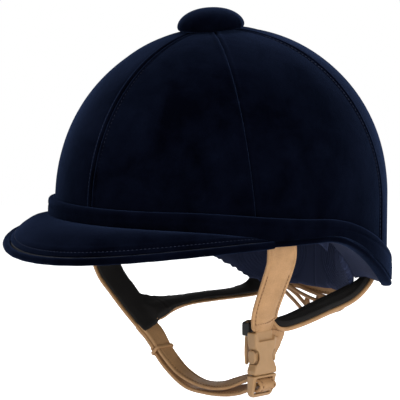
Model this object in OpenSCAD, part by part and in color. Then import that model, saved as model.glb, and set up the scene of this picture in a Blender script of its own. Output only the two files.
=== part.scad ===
// Equestrian riding helmet: a deep velvet-covered crown with a soft-edged peak,
// a padded lining and a four-point leather harness with a side-release buckle.
// +Z is up, the peak points to -Y, the wearer's left is +X.
// The origin is the middle of the head opening, level with the rim at the temples.

/* [Crown] */
// Length of the crown from its middle to the front
crown_front_length = 134; // [130:0.5:138]
// Length of the crown from its middle to the back
crown_rear_length = 132.5; // [128:0.5:136]
// Half the crown's width
crown_half_width = 113; // [108:0.5:118]
// Height of the crown above its widest level
crown_height = 129; // [122:1:136]
// Height of the crown's widest level above the temples
widest_level = 23; // [20:1:26]
// How far the middle of the crown lies behind the origin
crown_setback = 1.5; // [0:0.5:5]
// Squareness of the crown seen from above (2 is an ellipse)
plan_power = 2.1; // [2:0.05:2.4]
// Squareness of the crown seen from the side (2 is an ellipse)
side_power = 2.05; // [2:0.05:2.3]
// Forward lean of the crown's top, as a share of its half length
top_lean = 0.11; // [0:0.005:0.14]

/* [Rim and band] */
// How much lower the rim is at the nape than at the temples
nape_drop = 48; // [40:1:54]
// Height of the band's upper edge at the front
band_top = 27; // [24:0.5:30]
// How far the band stands out at the front
band_relief = 5.2; // [3:0.1:6]
// Height of the rolled rim strip
rim_roll = 5; // [4:0.5:6]

/* [Peak] */
// Angle from the front to each end of the peak
peak_span = 65; // [60:1:70]
// How far the peak reaches in front of the band
peak_reach = 45; // [38:1:52]
// Height of the peak's edge at the middle
peak_tip_height = -6; // [-12:1:0]
// Thickness of the peak's stiff core
peak_core_thickness = 3; // [2:0.5:4]
// Radius of the rolled edge of the peak
peak_edge_radius = 2.8; // [2:0.1:3.4]

/* [Walls] */
// Thickness of the velvet cover
cover_thickness = 1.6; // [1:0.1:2]
// Thickness of the hard outer shell
shell_thickness = 2.6; // [2:0.1:3.4]
// Thickness of the impact liner
liner_thickness = 16; // [12:1:20]
// Thickness of the comfort pads
pad_thickness = 8; // [5:1:10]

/* [Button] */
// Diameter of the covered top button
button_diameter = 50; // [44:1:56]
// Height of the covered top button
button_height = 15.5; // [12:0.5:18]

/* [Harness] */
// Thickness of the leather straps
leather = 2.4; // [1.8:0.1:3]
// Thickness of the soft backing on the straps
backing = 2; // [1.5:0.1:3]
// Width of the buckle
buckle_width = 22; // [20:0.5:24]
// Thickness of the buckle
buckle_thickness = 9; // [8:0.5:10]
// Diameter of the nape lace
lace_diameter = 2.4; // [2:0.1:3]

/* [Hidden] */

velvet = [0.07, 0.09, 0.16];
lining_navy = [0.1, 0.13, 0.22];
tan_leather = [0.76, 0.6, 0.44];
tan_plastic = [0.82, 0.67, 0.5];
soft_black = [0.1, 0.09, 0.08];

clear = 0.3;                 // air between neighbours
layer_gap = 0.8;             // air between the curved layers
seam_lons = [0, 61, 121, 180, 239, 299, 360];
seam_gap = 0.25;             // degrees left open beside each seam
shell_out = -(cover_thickness + layer_gap);
shell_in = shell_out - shell_thickness;
liner_out = shell_in - layer_gap;
liner_in = liner_out - liner_thickness;
lining_out = liner_in - layer_gap;
lining_in = lining_out - 1.6;
pad_out = lining_in - layer_gap;
pad_in = pad_out - pad_thickness;
pocket = 5.2;                // room for the straps between shell and liner

// ---------- curves ----------

function ease(t) = let (c = min(max(t, 0), 1)) c * c * (3 - 2 * c);
function fold(lon) = abs((lon + 540) % 360 - 180);  // 0 at the front, 180 at the back
function lerp(a, b, t) = a + (b - a) * t;

// Even spacing along the oval: the angle is taken on a circle and stretched with it
function plan_size(sx, sy) =
  pow(pow(abs(sx), plan_power) + pow(abs(sy), plan_power), 1 / plan_power);

// Lower edge of the rim, and upper edge of the band, round the head
function rim_z(lon) = let (a = fold(lon))
  3 * (1 - ease(a / 67)) - nape_drop * ease((a - 86) / 54);
function band_z(lon) = let (a = fold(lon))
  band_top - 10 * ease((a - 35) / 60) - 45 * ease((a - 85) / 65);
function shell_foot(lon) = rim_z(lon) + rim_roll + clear;

// Half length on the side that the turn's cosine points to
function half_length(c) = c > 0 ? crown_front_length : crown_rear_length;

// A point of the wall at height z, grown outwards by g: upright below the widest level
function wall(lon, g, z) =
  let (s = sin(lon), c = cos(lon), h = max(0, z - widest_level) / (crown_height + g),
       r = pow(1 - pow(h, side_power), 1 / side_power) / plan_size(s, c))
  [(crown_half_width + g) * r * s, crown_setback - (half_length(c) + g) * r * c, z];

// A point of the crown: lat 0 is the top, and the line runs down to height z_end
function crown(lon, lat, g) =
  let (sx = sin(lat) * sin(lon), sz = cos(lat),
       sy = sin(lat) * cos(lon) + top_lean * max(0, sz),
       p = plan_size(sx, sy),
       r = sz > 0 ? pow(pow(p, side_power) + pow(sz, side_power), -1 / side_power)
                  : 1 / p)
  [(crown_half_width + g) * sx * r,
   crown_setback - (half_length(sy) + g) * sy * r,
   widest_level + (crown_height + g) * sz * r];
function foot_lat(lon, g, z) =
  atan2(crown_height + g, (z - widest_level) * plan_size(sin(lon), cos(lon)));

// ---------- skins ----------

// A closed skin over equal rings of points, in a loop or with two flat ends.
// The points of each ring run down one face and back up the other. Rings that start
// with the outer face and follow growing angles are turned to face outwards.
module skin(rings, loop = false, outer_first = false) {
  n = len(rings);
  k = len(rings[0]);
  sides = [for (i = [0 : (loop ? n : n - 1) - 1], j = [0 : k - 1])
    let (a = i * k + j, b = i * k + (j + 1) % k,
         c = ((i + 1) % n) * k + (j + 1) % k, d = ((i + 1) % n) * k + j)
    each [[a, b, c], [a, c, d]]];
  ladder = [for (j = [0 : k / 2 - 2]) each [[j, k - 1 - j, j + 1], [j + 1, k - 1 - j, k - 2 - j]]];
  top = (n - 1) * k;
  ends = loop ? [] : [for (t = ladder) each [t, [t[0] + top, t[2] + top, t[1] + top]]];
  faces = [for (f = concat(sides, ends)) outer_first ? [f[0], f[2], f[1]] : f];
  polyhedron(points = [for (r = rings) each r], faces = faces);
}

// A layer of the crown between two angles, from lat0 down to the curve of the foot
module crown_layer(lon0, lon1, columns, rows, lat0, g_out, g_in, lift = 0, loop = false, tuck = 0) {
  lons = [for (i = [0 : loop ? columns - 1 : columns]) lon0 + (lon1 - lon0) * i / columns];
  skin([for (lon = lons)
    let (z = shell_foot(lon) + lift,
         outer = [for (i = [0 : rows])
           let (g = g_out - tuck * ease((i / rows - 0.72) / 0.14))
           crown(lon, lerp(lat0, foot_lat(lon, g, z), i / rows), g)],
         inner = [for (i = [rows : -1 : 0])
           crown(lon, lerp(lat0, foot_lat(lon, g_in, z), i / rows), g_in)])
    concat(outer, inner)], loop, true);
}

// A strip round the wall: its section is a list of [growth, height] made for each angle
function loop_lons(n) = [for (i = [0 : n - 1]) 360 * i / n];

// Rounded pad between two angles, thinner towards its ends
module wall_pad(lon0, lon1, columns, g_face, thickness, rise, drop = 0, drop_from = 128) {
  skin([for (i = [0 : columns])
    let (lon = lerp(lon0, lon1, i / columns),
         e = sqrt(max(0, 1 - pow(abs(2 * i / columns - 1), 6))),
         low = rim_z(lon) - drop * ease((fold(lon) - drop_from) / 26),
         high = rim_z(lon) + lerp(12, rise, e),
         mid = (low + high) / 2, h = (high - low) / 2, g = g_face - layer_gap,
         t = thickness * lerp(0.35, 1, e))
    [wall(lon, g, mid + h * 0.9), wall(lon, g, mid), wall(lon, g, mid - h * 0.9),
     wall(lon, g - t * 0.3, mid - h), wall(lon, g - t * 0.8, mid - h * 0.9),
     wall(lon, g - t, mid - h * 0.5), wall(lon, g - t, mid + h * 0.5),
     wall(lon, g - t * 0.6, mid + h)]], outer_first = true);
}

// ---------- straps ----------

function blend4(p, t) = let (a = p[0], b = p[1], c = p[2], d = p[3])
  0.5 * (2 * b + (c - a) * t + (2 * a - 5 * b + 4 * c - d) * t * t
         + (3 * b - a - 3 * c + d) * t * t * t);
// A smooth curve through every key, with n steps between neighbours
function smooth(keys, n) = let (m = len(keys))
  [for (i = [0 : m - 2], j = [0 : n - 1])
     blend4([keys[max(0, i - 1)], keys[i], keys[i + 1], keys[min(m - 1, i + 2)]], j / n),
   keys[m - 1]];
function unit(v) = v / norm(v);
function place(k) = [k[0], k[1], k[2]];
function facing(k) = [k[3], k[4], k[5]];
// Each key is [x, y, z, outward normal x, y, z, width]
function strap_rings(path, thickness, lift, trim = 0) =
  [for (i = [0 : len(path) - 1])
    let (p = place(path[i]),
         t = unit(place(path[min(i + 1, len(path) - 1)]) - place(path[max(i - 1, 0)])),
         side = unit(cross(t, facing(path[i]))),
         n = cross(side, t),
         w = path[i][6] / 2 - trim, h = thickness / 2, q = p + n * lift)
    [q + side * w + n * h * 0.4, q + side * (w - h * 0.7) + n * h,
     q - side * (w - h * 0.7) + n * h, q - side * w + n * h * 0.4,
     q - side * w - n * h * 0.4, q - side * (w - h * 0.7) - n * h,
     q + side * (w - h * 0.7) - n * h, q + side * w - n * h * 0.4]];
module strap(keys, thickness, lift = 0, trim = 0, n = 4) {
  skin(strap_rings(smooth(keys, n), thickness, lift, trim));
}

// Round tube along a smooth curve
function tube_rings(path, r, sides) =
  [for (i = [0 : len(path) - 1])
    let (p = path[i],
         t = unit(path[min(i + 1, len(path) - 1)] - path[max(i - 1, 0)]),
         u = unit(cross(t, abs(t[2]) > 0.9 ? [1, 0, 0] : [0, 0, 1])), v = cross(u, t))
    [for (k = [0 : sides - 1]) p + r * (u * cos(360 * k / sides) + v * sin(360 * k / sides))]];

// ---------- crown ----------

module outer_shell() {
  color("dimgray")
  crown_layer(0, 360, 48, 13, 2.6, shell_out, shell_in, loop = true);
}

module impact_liner() {
  color("whitesmoke")
  crown_layer(0, 360, 44, 12, 7, liner_out, liner_in, lift = 3, loop = true, tuck = pocket);
}

module crown_lining() {
  color(lining_navy)
  crown_layer(0, 360, 44, 12, 2, lining_out, lining_in, lift = 2, loop = true);
}

module crown_pad() {
  color(lining_navy)
  skin([for (i = [0 : 23]) let (lon = 15 * i, g = pad_out)
    [crown(lon, 3, g), crown(lon, 16, g), crown(lon, 28, g),
     crown(lon, 29, g - pad_thickness / 2), crown(lon, 16, pad_in), crown(lon, 3, pad_in)]],
    loop = true, outer_first = true);
}

module cover_panel(index) {
  color(velvet)
  crown_layer(seam_lons[index] + seam_gap, seam_lons[index + 1] - seam_gap, 10, 14, 5,
              0, -cover_thickness);
}
module cover_front_left() { cover_panel(0); }
module cover_side_left() { cover_panel(1); }
module cover_rear_left() { cover_panel(2); }
module cover_rear_right() { cover_panel(3); }
module cover_side_right() { cover_panel(4); }
module cover_front_right() { cover_panel(5); }

// ---------- button ----------

button_seat = crown(0, 0, 0);
button_tilt = 5;
module on_crown_top() { translate(button_seat) rotate([button_tilt, 0, 0]) children(); }

module button_cover() {
  r = button_diameter / 2;
  dome = (r * r + button_height * button_height) / (2 * button_height);
  color(velvet) on_crown_top()
  rotate_extrude($fn = 72) difference() {
    intersection() {
      translate([0, button_height - dome]) circle(r = dome, $fn = 96);
      translate([0, -1]) square([r - 0.4, button_height + 2]);
    }
    translate([-1, -3]) square([r - 1.6, 6]);
    translate([-1, 2]) square([8, 5]);
  }
}

module button_core() {
  color("dimgray") on_crown_top()
  difference() {
    translate([0, 0, 0.4]) cylinder(r = button_diameter / 2 - 3, h = 2.2, $fn = 64);
    translate([0, 0, -1]) cylinder(r = 2.6, h = 5, $fn = 32);
  }
}

module button_rivet() {
  color("silver") on_crown_top() {
    translate([0, 0, -8]) cylinder(r = 2.5, h = 13.5, $fn = 32);
    translate([0, 0, 3]) cylinder(r = 6, h = 2.5, $fn = 32);
    translate([0, 0, -8.2]) cylinder(r = 7, h = 2, $fn = 32);
  }
}

// ---------- band and rim ----------

module hat_band() {
  color(velvet)
  skin([for (lon = loop_lons(60))
    let (low = shell_foot(lon), high = band_z(lon),
         g = band_relief - 1.6 * ease((fold(lon) - 60) / 100))
    [wall(lon, clear, high - 0.6), wall(lon, g * 0.55, high), wall(lon, g * 0.92, high - 1.6),
     wall(lon, g, high - 4), wall(lon, g, low), wall(lon, clear, low)]],
    loop = true, outer_first = true);
}

module rim_strip() {
  color(velvet)
  skin([for (lon = loop_lons(60)) let (z = rim_z(lon), h = rim_roll)
    [wall(lon, -4.2, z + h), wall(lon, 2.6, z + h), wall(lon, 4, z + h * 0.65),
     wall(lon, 3.4, z + h * 0.2), wall(lon, 1, z), wall(lon, -2.4, z),
     wall(lon, -4.4, z + h * 0.25), wall(lon, -4.6, z + h * 0.65)]],
    loop = true, outer_first = true);
}

// ---------- peak ----------

// t runs from one end of the peak (-1) to the other (1), s from its root to its edge
function peak_root(t) = let (lon = t * peak_span)
  wall(lon, band_relief + clear, 12 - 9 * pow(abs(t), 4));
function peak_rim(t) = let (a = 90 * t, root = peak_root(1), front = peak_root(0))
  [root[0] * sin(a) - 4.5 * sin(2 * a),
   root[1] - (root[1] - front[1] + peak_reach) * cos(a),
   root[2] + (peak_tip_height - root[2]) * pow(cos(a), 2.1)];
function peak_mid(t, s) = let (a = peak_root(t), b = peak_rim(t))
  lerp(a, b, s) + [0, 0, 25 * s * (1 - s) * cos(90 * t)];
peak_rows = 6;
module peak_layer(low, high, inset = 0, columns = 24) {
  skin([for (i = [0 : columns]) let (t = 0.985 * (2 * i / columns - 1))
    concat([for (j = [0 : peak_rows]) peak_mid(t, lerp(0, 1 - inset, j / peak_rows)) + [0, 0, high]],
           [for (j = [peak_rows : -1 : 0]) peak_mid(t, lerp(0, 1 - inset, j / peak_rows)) + [0, 0, low]])],
    outer_first = true);
}
module peak_core() {
  color("dimgray") peak_layer(-peak_core_thickness / 2, peak_core_thickness / 2, 0.02);
}
module peak_cover_top() {
  color(velvet) peak_layer(peak_core_thickness / 2 + 0.05, peak_core_thickness / 2 + 1.4, 0.02);
}
module peak_cover_under() {
  color(velvet) peak_layer(-peak_core_thickness / 2 - 1.4, -peak_core_thickness / 2 - 0.05, 0.02);
}
module peak_edge() {
  color(velvet)
  skin(tube_rings([for (i = [0 : 48]) let (t = i / 24 - 1)
    peak_rim(t) + peak_edge_radius * [sin(90 * t), -cos(90 * t), 0]], peak_edge_radius, 8));
}

// ---------- lining ----------

module brow_pad() { color(lining_navy) wall_pad(-50, 50, 18, lining_in, pad_thickness, 42); }
module side_pad(side) {
  color(lining_navy)
  wall_pad(side * 54, side * 106, 12, lining_in, pad_thickness - 1, 44);
}
module side_pad_left() { side_pad(1); }
module side_pad_right() { mirror([1, 0, 0]) side_pad(1); }
module nape_pad() { color(lining_navy) wall_pad(112, 248, 26, lining_in, 6, 44, drop = 11); }

// ---------- harness ----------

// Keys of each strap: place, outward normal and width
front_left = [
  [100.9, -39, 26, 1, -0.25, 0, 24], [100.9, -39, 8, 1, -0.25, 0, 24],
  [101.2, -39, -8, 1, -0.25, -0.05, 24.5], [96.5, -37.5, -20, 0.96, -0.25, -0.25, 24],
  [82, -35, -48, 0.95, -0.15, -0.35, 24], [76, -31.2, -59.5, 0.99, -0.1, -0.2, 23.5],
  [74, -29.9, -63.2, 1, 0, 0, 20.5], [72.9, -29.5, -66.6, 1, 0, 0, 16.4],
  [72.2, -29.5, -71, 1, 0, 0, 15], [72, -29.5, -76.6, 1, 0, 0, 14.8]];
front_right = [
  [-100.9, -39, 26, -1, -0.25, 0, 24], [-100.9, -39, 8, -1, -0.25, 0, 24],
  [-100.9, -38.4, -8, -1, -0.22, -0.05, 24.5], [-98, -36, -24, -0.96, -0.08, -0.2, 25],
  [-88.5, -34, -41, -0.84, 0.02, -0.45, 25], [-76.5, -32.5, -53, -0.72, 0.05, -0.66, 24.5],
  [-63.2, -32, -65.4, -0.7, 0.03, -0.7, 23.5], [-50.3, -31.5, -77.4, -0.7, 0, -0.7, 21]];
rear_left = [
  [73.4, -35, -54.5, 1, 0, -0.1, 12], [69.8, -28, -58.5, 1, 0.2, -0.15, 14],
  [65.4, -19.5, -66, 0.97, 0.05, -0.25, 16], [64.8, -8, -69, 0.78, 0, -0.6, 17],
  [66, 10, -68, 0.5, 0.12, -0.86, 17], [67.8, 40, -60, 0.45, 0.2, -0.87, 17],
  [68, 66, -56.4, 0.5, 0.32, -0.8, 16.5], [67.6, 87, -50, 0.6, 0.6, -0.5, 16],
  [66.6, 99, -38, 0.62, 0.78, 0, 16], [66.4, 101.4, -22, 0.62, 0.78, 0, 16]];
rear_right = [
  [-52.5, -27, -68.5, -0.6, 0.05, -0.8, 17], [-55, -8, -68.3, -0.4, 0.1, -0.92, 16],
  [-59, 18, -68.8, -0.3, 0.06, -0.96, 16], [-61, 48, -69.2, -0.28, 0.04, -0.96, 16],
  [-61.5, 78, -69.2, -0.3, 0.1, -0.95, 16], [-61.6, 95.5, -66, -0.45, 0.5, -0.74, 16],
  [-61.6, 103.4, -56, -0.56, 0.8, -0.2, 16], [-61.2, 105.4, -40, -0.56, 0.83, 0, 16],
  [-61, 105.4, -22, -0.56, 0.83, 0, 16]];
end_left = [
  [66.5, -6.5, -77.5, 0.9, 0.1, -0.4, 14], [66.8, -10.5, -82.5, 0.97, 0.1, -0.2, 10],
  [67, -13.5, -88, 1, 0.1, 0, 6], [67, -15.5, -92.5, 1, 0.1, 0, 3.4]];

module front_strap_left() { color(tan_leather) strap(front_left, leather); }
module front_strap_right() { color(tan_leather) strap(front_right, leather); }
module rear_strap_left() { color(tan_leather) strap(rear_left, leather); }
module rear_strap_right() { color(tan_leather) strap(rear_right, leather); }
module rear_strap_end() { color(tan_leather) strap(end_left, leather); }

function stretch(keys, first, last) = [for (i = [first : last]) keys[i]];
backing_lift = -(leather + backing) / 2 - 2 * clear;
module rear_backing_left() {
  color(soft_black) strap(stretch(rear_left, 3, 7), backing, backing_lift, -0.8);
}
module rear_backing_right() {
  color(soft_black) strap(stretch(rear_right, 1, 6), backing, backing_lift, -0.8);
}
module front_backing_right() {
  color(soft_black) strap(stretch(front_right, 3, 6), backing, backing_lift, -0.8);
}

// One rivet at the top of each strap: a shank through it and a washer inside
rivet_places = [[100.9, -39, 16, 0.25], [-100.9, -39, 16, -0.25],
                [66.45, 101.2, -28, -1.26], [-61.05, 105.3, -28, 1.48]];
module rivet(p, lean) {
  translate([p[0], p[1], p[2]])
  rotate([0, 0, sign(p[0]) > 0 ? atan(-lean) : 180 + atan(-lean)]) rotate([0, 90, 0]) {
    translate([0, 0, -2.4]) cylinder(r = 2.2, h = 4.3, $fn = 24);
    translate([0, 0, -2.4]) cylinder(r = 4.5, h = 1, $fn = 32);
  }
}
module harness_rivets() {
  color("silver") for (p = rivet_places) rivet(p, p[3]);
}

// Leather strip behind the neck, laced across the middle
nape_sink = 5;                  // how far the middle of the strip lies below the rim at its ends
nape_bow = 7.5;                 // how much further it hangs at the back
nape_lons = [150, 210];
module nape_strap() {
  color(tan_leather)
  skin([for (i = [0 : 20]) let (lon = lerp(nape_lons[0], nape_lons[1], i / 20),
                                z = rim_z(lon) - nape_sink - nape_bow * (1 - pow(i / 10 - 1, 2)))
    [wall(lon, -15, z + 4.5), wall(lon, -15, z - 4.5),
     wall(lon, -17.2, z - 4.5), wall(lon, -17.2, z + 4.5)]], outer_first = true);
}
// Each lace: growth of the wall that it lies on, then its heights at even steps
laces = [[-20, -52, -59, -63.5, -66, -67, -62, -51.5], [-23.2, -53, -62, -67.5, -70, -70, -65.5, -52.5],
         [-20, -57, -66, -77.5, -77.5, -73, -67.5, -56.5], [-23.2, -58, -71, -82, -80.5, -76, -70.5, -57.5]];
lace_ends = [206, 154];
module nape_lace() {
  color(tan_leather)
  for (lace = laces)
    skin(tube_rings(smooth([for (i = [1 : 7])
      wall(lerp(lace_ends[0], lace_ends[1], (i - 1) / 6), lace[0], lace[i])], 4), lace_diameter / 2, 8));
}
module lace_eyelets() {
  color("darkgoldenrod")
  for (side = [-1, 1], down = [-3.5, -9.5])
    let (lon = 180 - side * 27, p = wall(lon, -18.2, rim_z(lon) + down))
    translate(p) rotate([0, 0, -side * 25]) rotate([90, 0, 0])
    difference() {
      cylinder(r = 3, h = 1, $fn = 32, center = true);
      cylinder(r = 1.7, h = 3, $fn = 32, center = true);
    }
}

// Sewn leather patch where the two left straps meet
module strap_joint_left() {
  color(tan_leather)
  strap([[80.3, -33.8, -53, 0.96, -0.14, -0.28, 20], [78.2, -32.8, -57.5, 0.98, -0.1, -0.2, 19],
         [76.9, -31.9, -61.4, 0.99, -0.1, -0.1, 18]], 1.2, 1.4);
}

module chin_sleeve() {
  color(tan_leather)
  strap([[-48.6, -31.3, -79.2, -0.7, 0, -0.7, 19], [-43.4, -30.2, -84, -0.72, 0, -0.7, 19],
         [-39.3, -29.5, -88.2, -0.74, 0, -0.67, 18]], 6.4);
}

// ---------- buckle ----------

buckle = [72, -29.5, 0];        // middle of the buckle, seen from above
socket_top = -74;
socket_foot = -99;
latch_z = -85.5;                // middle of the two thumb windows
thumb_r = 7;
bar_z = socket_foot - 8;        // cross bar that the chin strap turns round
bar_x = -1.4;                   // it lies a little behind the buckle's middle
module box(x, y, z0, z1) { translate([-x / 2, -y / 2, z0]) cube([x, y, z1 - z0]); }

module buckle_socket() {
  t = buckle_thickness;
  w = buckle_width;
  color(tan_plastic) translate(buckle)
  difference() {
    union() {
      hull() {
        translate([0, 0, socket_top]) box(t, w - 0.6, 0, 1);
        translate([0, 0, socket_foot]) box(t, w + 1.5, 0, 1);
        translate([0, 0, latch_z]) box(t + 0.8, w - 2, -6, 6);
      }
      translate([0, 0.6 - w / 2, 0]) box(t - 1, 2, socket_top - 1, socket_top + 7);
      translate([0, w / 2 - 0.8, 0]) box(t - 1, 2, socket_top - 1, socket_top + 3);
    }
    box(t - 3.4, w - 3.4, socket_foot - 1, socket_top - 6);
    box(4.4, 17.2, socket_top - 4, socket_top + 12);
    for (s = [-1, 1]) translate([0, s * (w / 2 + 0.4), latch_z]) rotate([0, 90, 0])
      cylinder(r = thumb_r, h = 30, center = true, $fn = 64);
  }
}

// The tongue's frame thins towards its foot and leans inwards
module buckle_tongue() {
  t = buckle_thickness;
  w = buckle_width + 2;
  color(tan_plastic) translate(buckle) {
    difference() {
      hull() {
        box(t - 1, w, socket_foot - 1.4, socket_foot - 0.4);
        translate([-2.2, 0, 0]) box(t - 5, w - 1.4, socket_foot - 17.2, socket_foot - 16.2);
      }
      box(t + 2, w - 7.4, socket_foot - 14.4, socket_foot - 2.4);
    }
    translate([bar_x, 0, bar_z]) rotate([90, 0, 0]) cylinder(r = 1.5, h = w - 5, center = true, $fn = 32);
    box(t - 4.4, 4, socket_foot - 1, socket_top - 9);
    for (s = [-1, 1]) translate([0, s * 6.2, 0]) box(t - 4.4, 3.4, socket_foot - 1, socket_foot + 2);
  }
}

module latch_arm(side) {
  t = buckle_thickness;
  color(tan_plastic) translate(buckle) {
    translate([0, side * 6.2, 0]) box(t - 4.4, 2.8, socket_foot + 2.3, latch_z + 5);
    translate([0, side * 8.2, 0]) intersection() {
      translate([0, side * (buckle_width / 2 - 7.8), latch_z]) rotate([0, 90, 0])
        cylinder(r = thumb_r - 0.6, h = t - 1.4, center = true, $fn = 48);
      box(t, 5.4, latch_z - 8, latch_z + 8);
    }
  }
}
module latch_arm_front() { latch_arm(-1); }
module latch_arm_rear() { latch_arm(1); }

// The chin strap is sewn into the sleeve, turns round the bar of the tongue and doubles
// back under the keeper to its free end.
chin_keys = [
  [-36.7, -29.5, -89.4, 0.74, 0, 0.67, 15], [-27.8, -29.5, -98, 0.7, 0, 0.7, 15],
  [-12.9, -29.5, -108.6, 0.5, 0, 0.86, 15], [6, -29.5, -114.6, 0.12, 0, 0.99, 15],
  [24.4, -29.5, -114.6, -0.14, 0, 0.99, 15], [40, -29.5, -110.8, -0.24, 0, 0.97, 15],
  [53, -29.5, -106.2, -0.26, 0, 0.97, 15], [65, -29.5, -103.7, -0.1, 0, 1, 15],
  [73.5, -29.5, -103.4, 0.3, 0, 1, 15], [77.8, -29.5, -107, 1, 0, 0, 15],
  [73.5, -29.5, -110.9, 0.3, 0, -1, 15], [65, -29.5, -111.6, 0.1, 0, -1, 15],
  [53, -29.5, -115.4, 0.3, 0, -0.95, 15], [38, -29.5, -119.8, 0.15, 0, -0.98, 15],
  [18, -29.5, -121.5, 0, 0, -1, 15], [-3.6, -29.5, -118.4, -0.35, 0, -0.93, 15],
  [-24.4, -29.5, -107.4, -0.6, 0, -0.8, 15], [-40.4, -29.5, -93.4, -0.7, 0, -0.7, 15]];
module chin_strap() { color(tan_leather) strap(chin_keys, leather); }

module strap_keeper() {
  color(tan_leather)
  translate([-34.9, -29.5, -95]) rotate([0, 135, 0])
  difference() {
    box(11.2, 18.2, -1.6, 1.6);
    box(9, 16, -4, 4);
  }
}

// Free end of the adjuster, hanging inside the buckle and held by a soft ring
module strap_tail() {
  color(tan_leather)
  strap([[58.6, -29.4, -61, 0.89, 0.45, 0, 11], [58.2, -29.8, -72, 0.89, 0.45, 0, 11],
         [57.7, -30.2, -84, 0.88, 0.47, 0, 10], [57.2, -30.6, -94, 0.87, 0.49, 0, 3]], leather);
}
module tail_ring() {
  color(soft_black)
  translate([58.4, -29.6, -66.5]) rotate([0, 0, 27]) difference() {
    box(7, 15, -5, 5);
    box(4, 12, -6, 6);
  }
}

outer_shell();
impact_liner();
crown_lining();
crown_pad();
cover_front_left();
cover_front_right();
cover_side_left();
cover_side_right();
cover_rear_left();
cover_rear_right();
button_cover();
button_core();
button_rivet();
hat_band();
rim_strip();
peak_core();
peak_cover_top();
peak_cover_under();
peak_edge();
brow_pad();
side_pad_left();
side_pad_right();
nape_pad();
harness_rivets();
front_strap_left();
front_strap_right();
rear_strap_left();
rear_strap_right();
rear_strap_end();
rear_backing_left();
rear_backing_right();
front_backing_right();
nape_strap();
nape_lace();
lace_eyelets();
strap_joint_left();
chin_sleeve();
strap_tail();
tail_ring();
buckle_socket();
buckle_tongue();
latch_arm_front();
latch_arm_rear();
chin_strap();
strap_keeper();
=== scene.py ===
# Riding helmet: velvet crown with six panels, soft-edged peak, padded lining
# and a leather harness with a side-release buckle. Shapes are worked out in millimetres.
import math
import bpy
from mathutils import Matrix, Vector
import numpy as np


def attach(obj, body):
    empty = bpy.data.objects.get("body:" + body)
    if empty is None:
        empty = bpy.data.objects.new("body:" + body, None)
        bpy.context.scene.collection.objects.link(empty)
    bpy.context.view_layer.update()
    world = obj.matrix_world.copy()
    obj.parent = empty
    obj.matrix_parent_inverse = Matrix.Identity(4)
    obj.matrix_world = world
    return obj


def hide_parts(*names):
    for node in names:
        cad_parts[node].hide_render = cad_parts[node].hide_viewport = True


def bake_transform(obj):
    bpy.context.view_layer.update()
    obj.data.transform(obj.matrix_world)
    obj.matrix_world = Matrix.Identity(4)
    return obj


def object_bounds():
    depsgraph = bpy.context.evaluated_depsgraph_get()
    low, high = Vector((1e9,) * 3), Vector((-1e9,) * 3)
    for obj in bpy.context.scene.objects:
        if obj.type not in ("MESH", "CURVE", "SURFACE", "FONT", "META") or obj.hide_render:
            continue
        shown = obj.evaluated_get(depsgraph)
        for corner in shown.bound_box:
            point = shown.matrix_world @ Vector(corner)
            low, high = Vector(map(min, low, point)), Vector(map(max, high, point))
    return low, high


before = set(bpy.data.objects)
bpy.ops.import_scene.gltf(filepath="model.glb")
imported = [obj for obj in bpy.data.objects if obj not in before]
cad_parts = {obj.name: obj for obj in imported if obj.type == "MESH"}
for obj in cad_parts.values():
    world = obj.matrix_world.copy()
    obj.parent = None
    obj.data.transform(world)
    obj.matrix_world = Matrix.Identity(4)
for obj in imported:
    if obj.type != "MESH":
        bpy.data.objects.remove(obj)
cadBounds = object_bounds()
scene = bpy.context.scene
millimetre = 0.001
print("frame loaded:", len(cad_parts), "nodes")

crown = {
    "frontLength": 134, "rearLength": 132.5, "halfWidth": 113, "height": 129,
    "widestLevel": 23, "setback": 1.5, "planPower": 2.1, "sidePower": 2.05, "topLean": 0.11,
    "napeDrop": 48, "bandTop": 27, "bandRelief": 5.2, "rimRoll": 5,
}


def ease(t):
    # Smooth step: three c squared less two c cubed, with c held between 0 and 1
    c = np.clip(t, 0, 1)
    return c * c * (3 - 2 * c)


def bump(distance, centre, width):
    # Bell curve of height 1
    return np.exp(-((distance - centre) / width) ** 2)


def lerp(a, b, t):
    # a plus t times the way to b
    return a + (b - a) * t


def circle(count):
    # Angles once round, at even steps
    return np.linspace(0, 2 * math.pi, count, endpoint=False)


def squared(wave, power):
    # A sine or cosine raised to a power with its sign kept, which makes a round section squarer
    return np.sign(wave) * np.abs(wave) ** power


def fold(lon):
    # Angle from the front, 0 to 180 on either side
    return np.abs((lon + 540) % 360 - 180)


def sind(angle):
    # Sine of degrees
    return np.sin(np.radians(angle))


def cosd(angle):
    # Cosine of degrees
    return np.cos(np.radians(angle))


def planSize(sx, sy):
    # Superellipse norm of a direction seen from above
    power = crown["planPower"]
    return (np.abs(sx) ** power + np.abs(sy) ** power) ** (1 / power)


def rimHeight(lon):
    # Rim: level in front, falling to the nape behind the ears
    a = fold(lon)
    return 3 * (1 - ease(a / 67)) - crown["napeDrop"] * ease((a - 86) / 54)


def bandHeight(lon):
    # Upper edge of the band
    a = fold(lon)
    return crown["bandTop"] - 10 * ease((a - 35) / 60) - 45 * ease((a - 85) / 65)


def halfLength(c):
    # Longer in front of the middle than behind it
    return np.where(c > 0, crown["frontLength"], crown["rearLength"])


def wallPoint(lon, grow, height):
    # Oval wall: upright below the widest level, closing in above it as the crown does
    lon, grow, height = np.broadcast_arrays(lon, grow, height)
    s, c = sind(lon), cosd(lon)
    power = crown["sidePower"]
    h = np.clip((height - crown["widestLevel"]) / (crown["height"] + grow), 0, 0.99)
    r = (1 - h ** power) ** (1 / power) / planSize(s, c)
    x = (crown["halfWidth"] + grow) * r * s
    y = crown["setback"] - (halfLength(c) + grow) * r * c
    return np.stack([x, y, height + 0 * x], -1)


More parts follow.
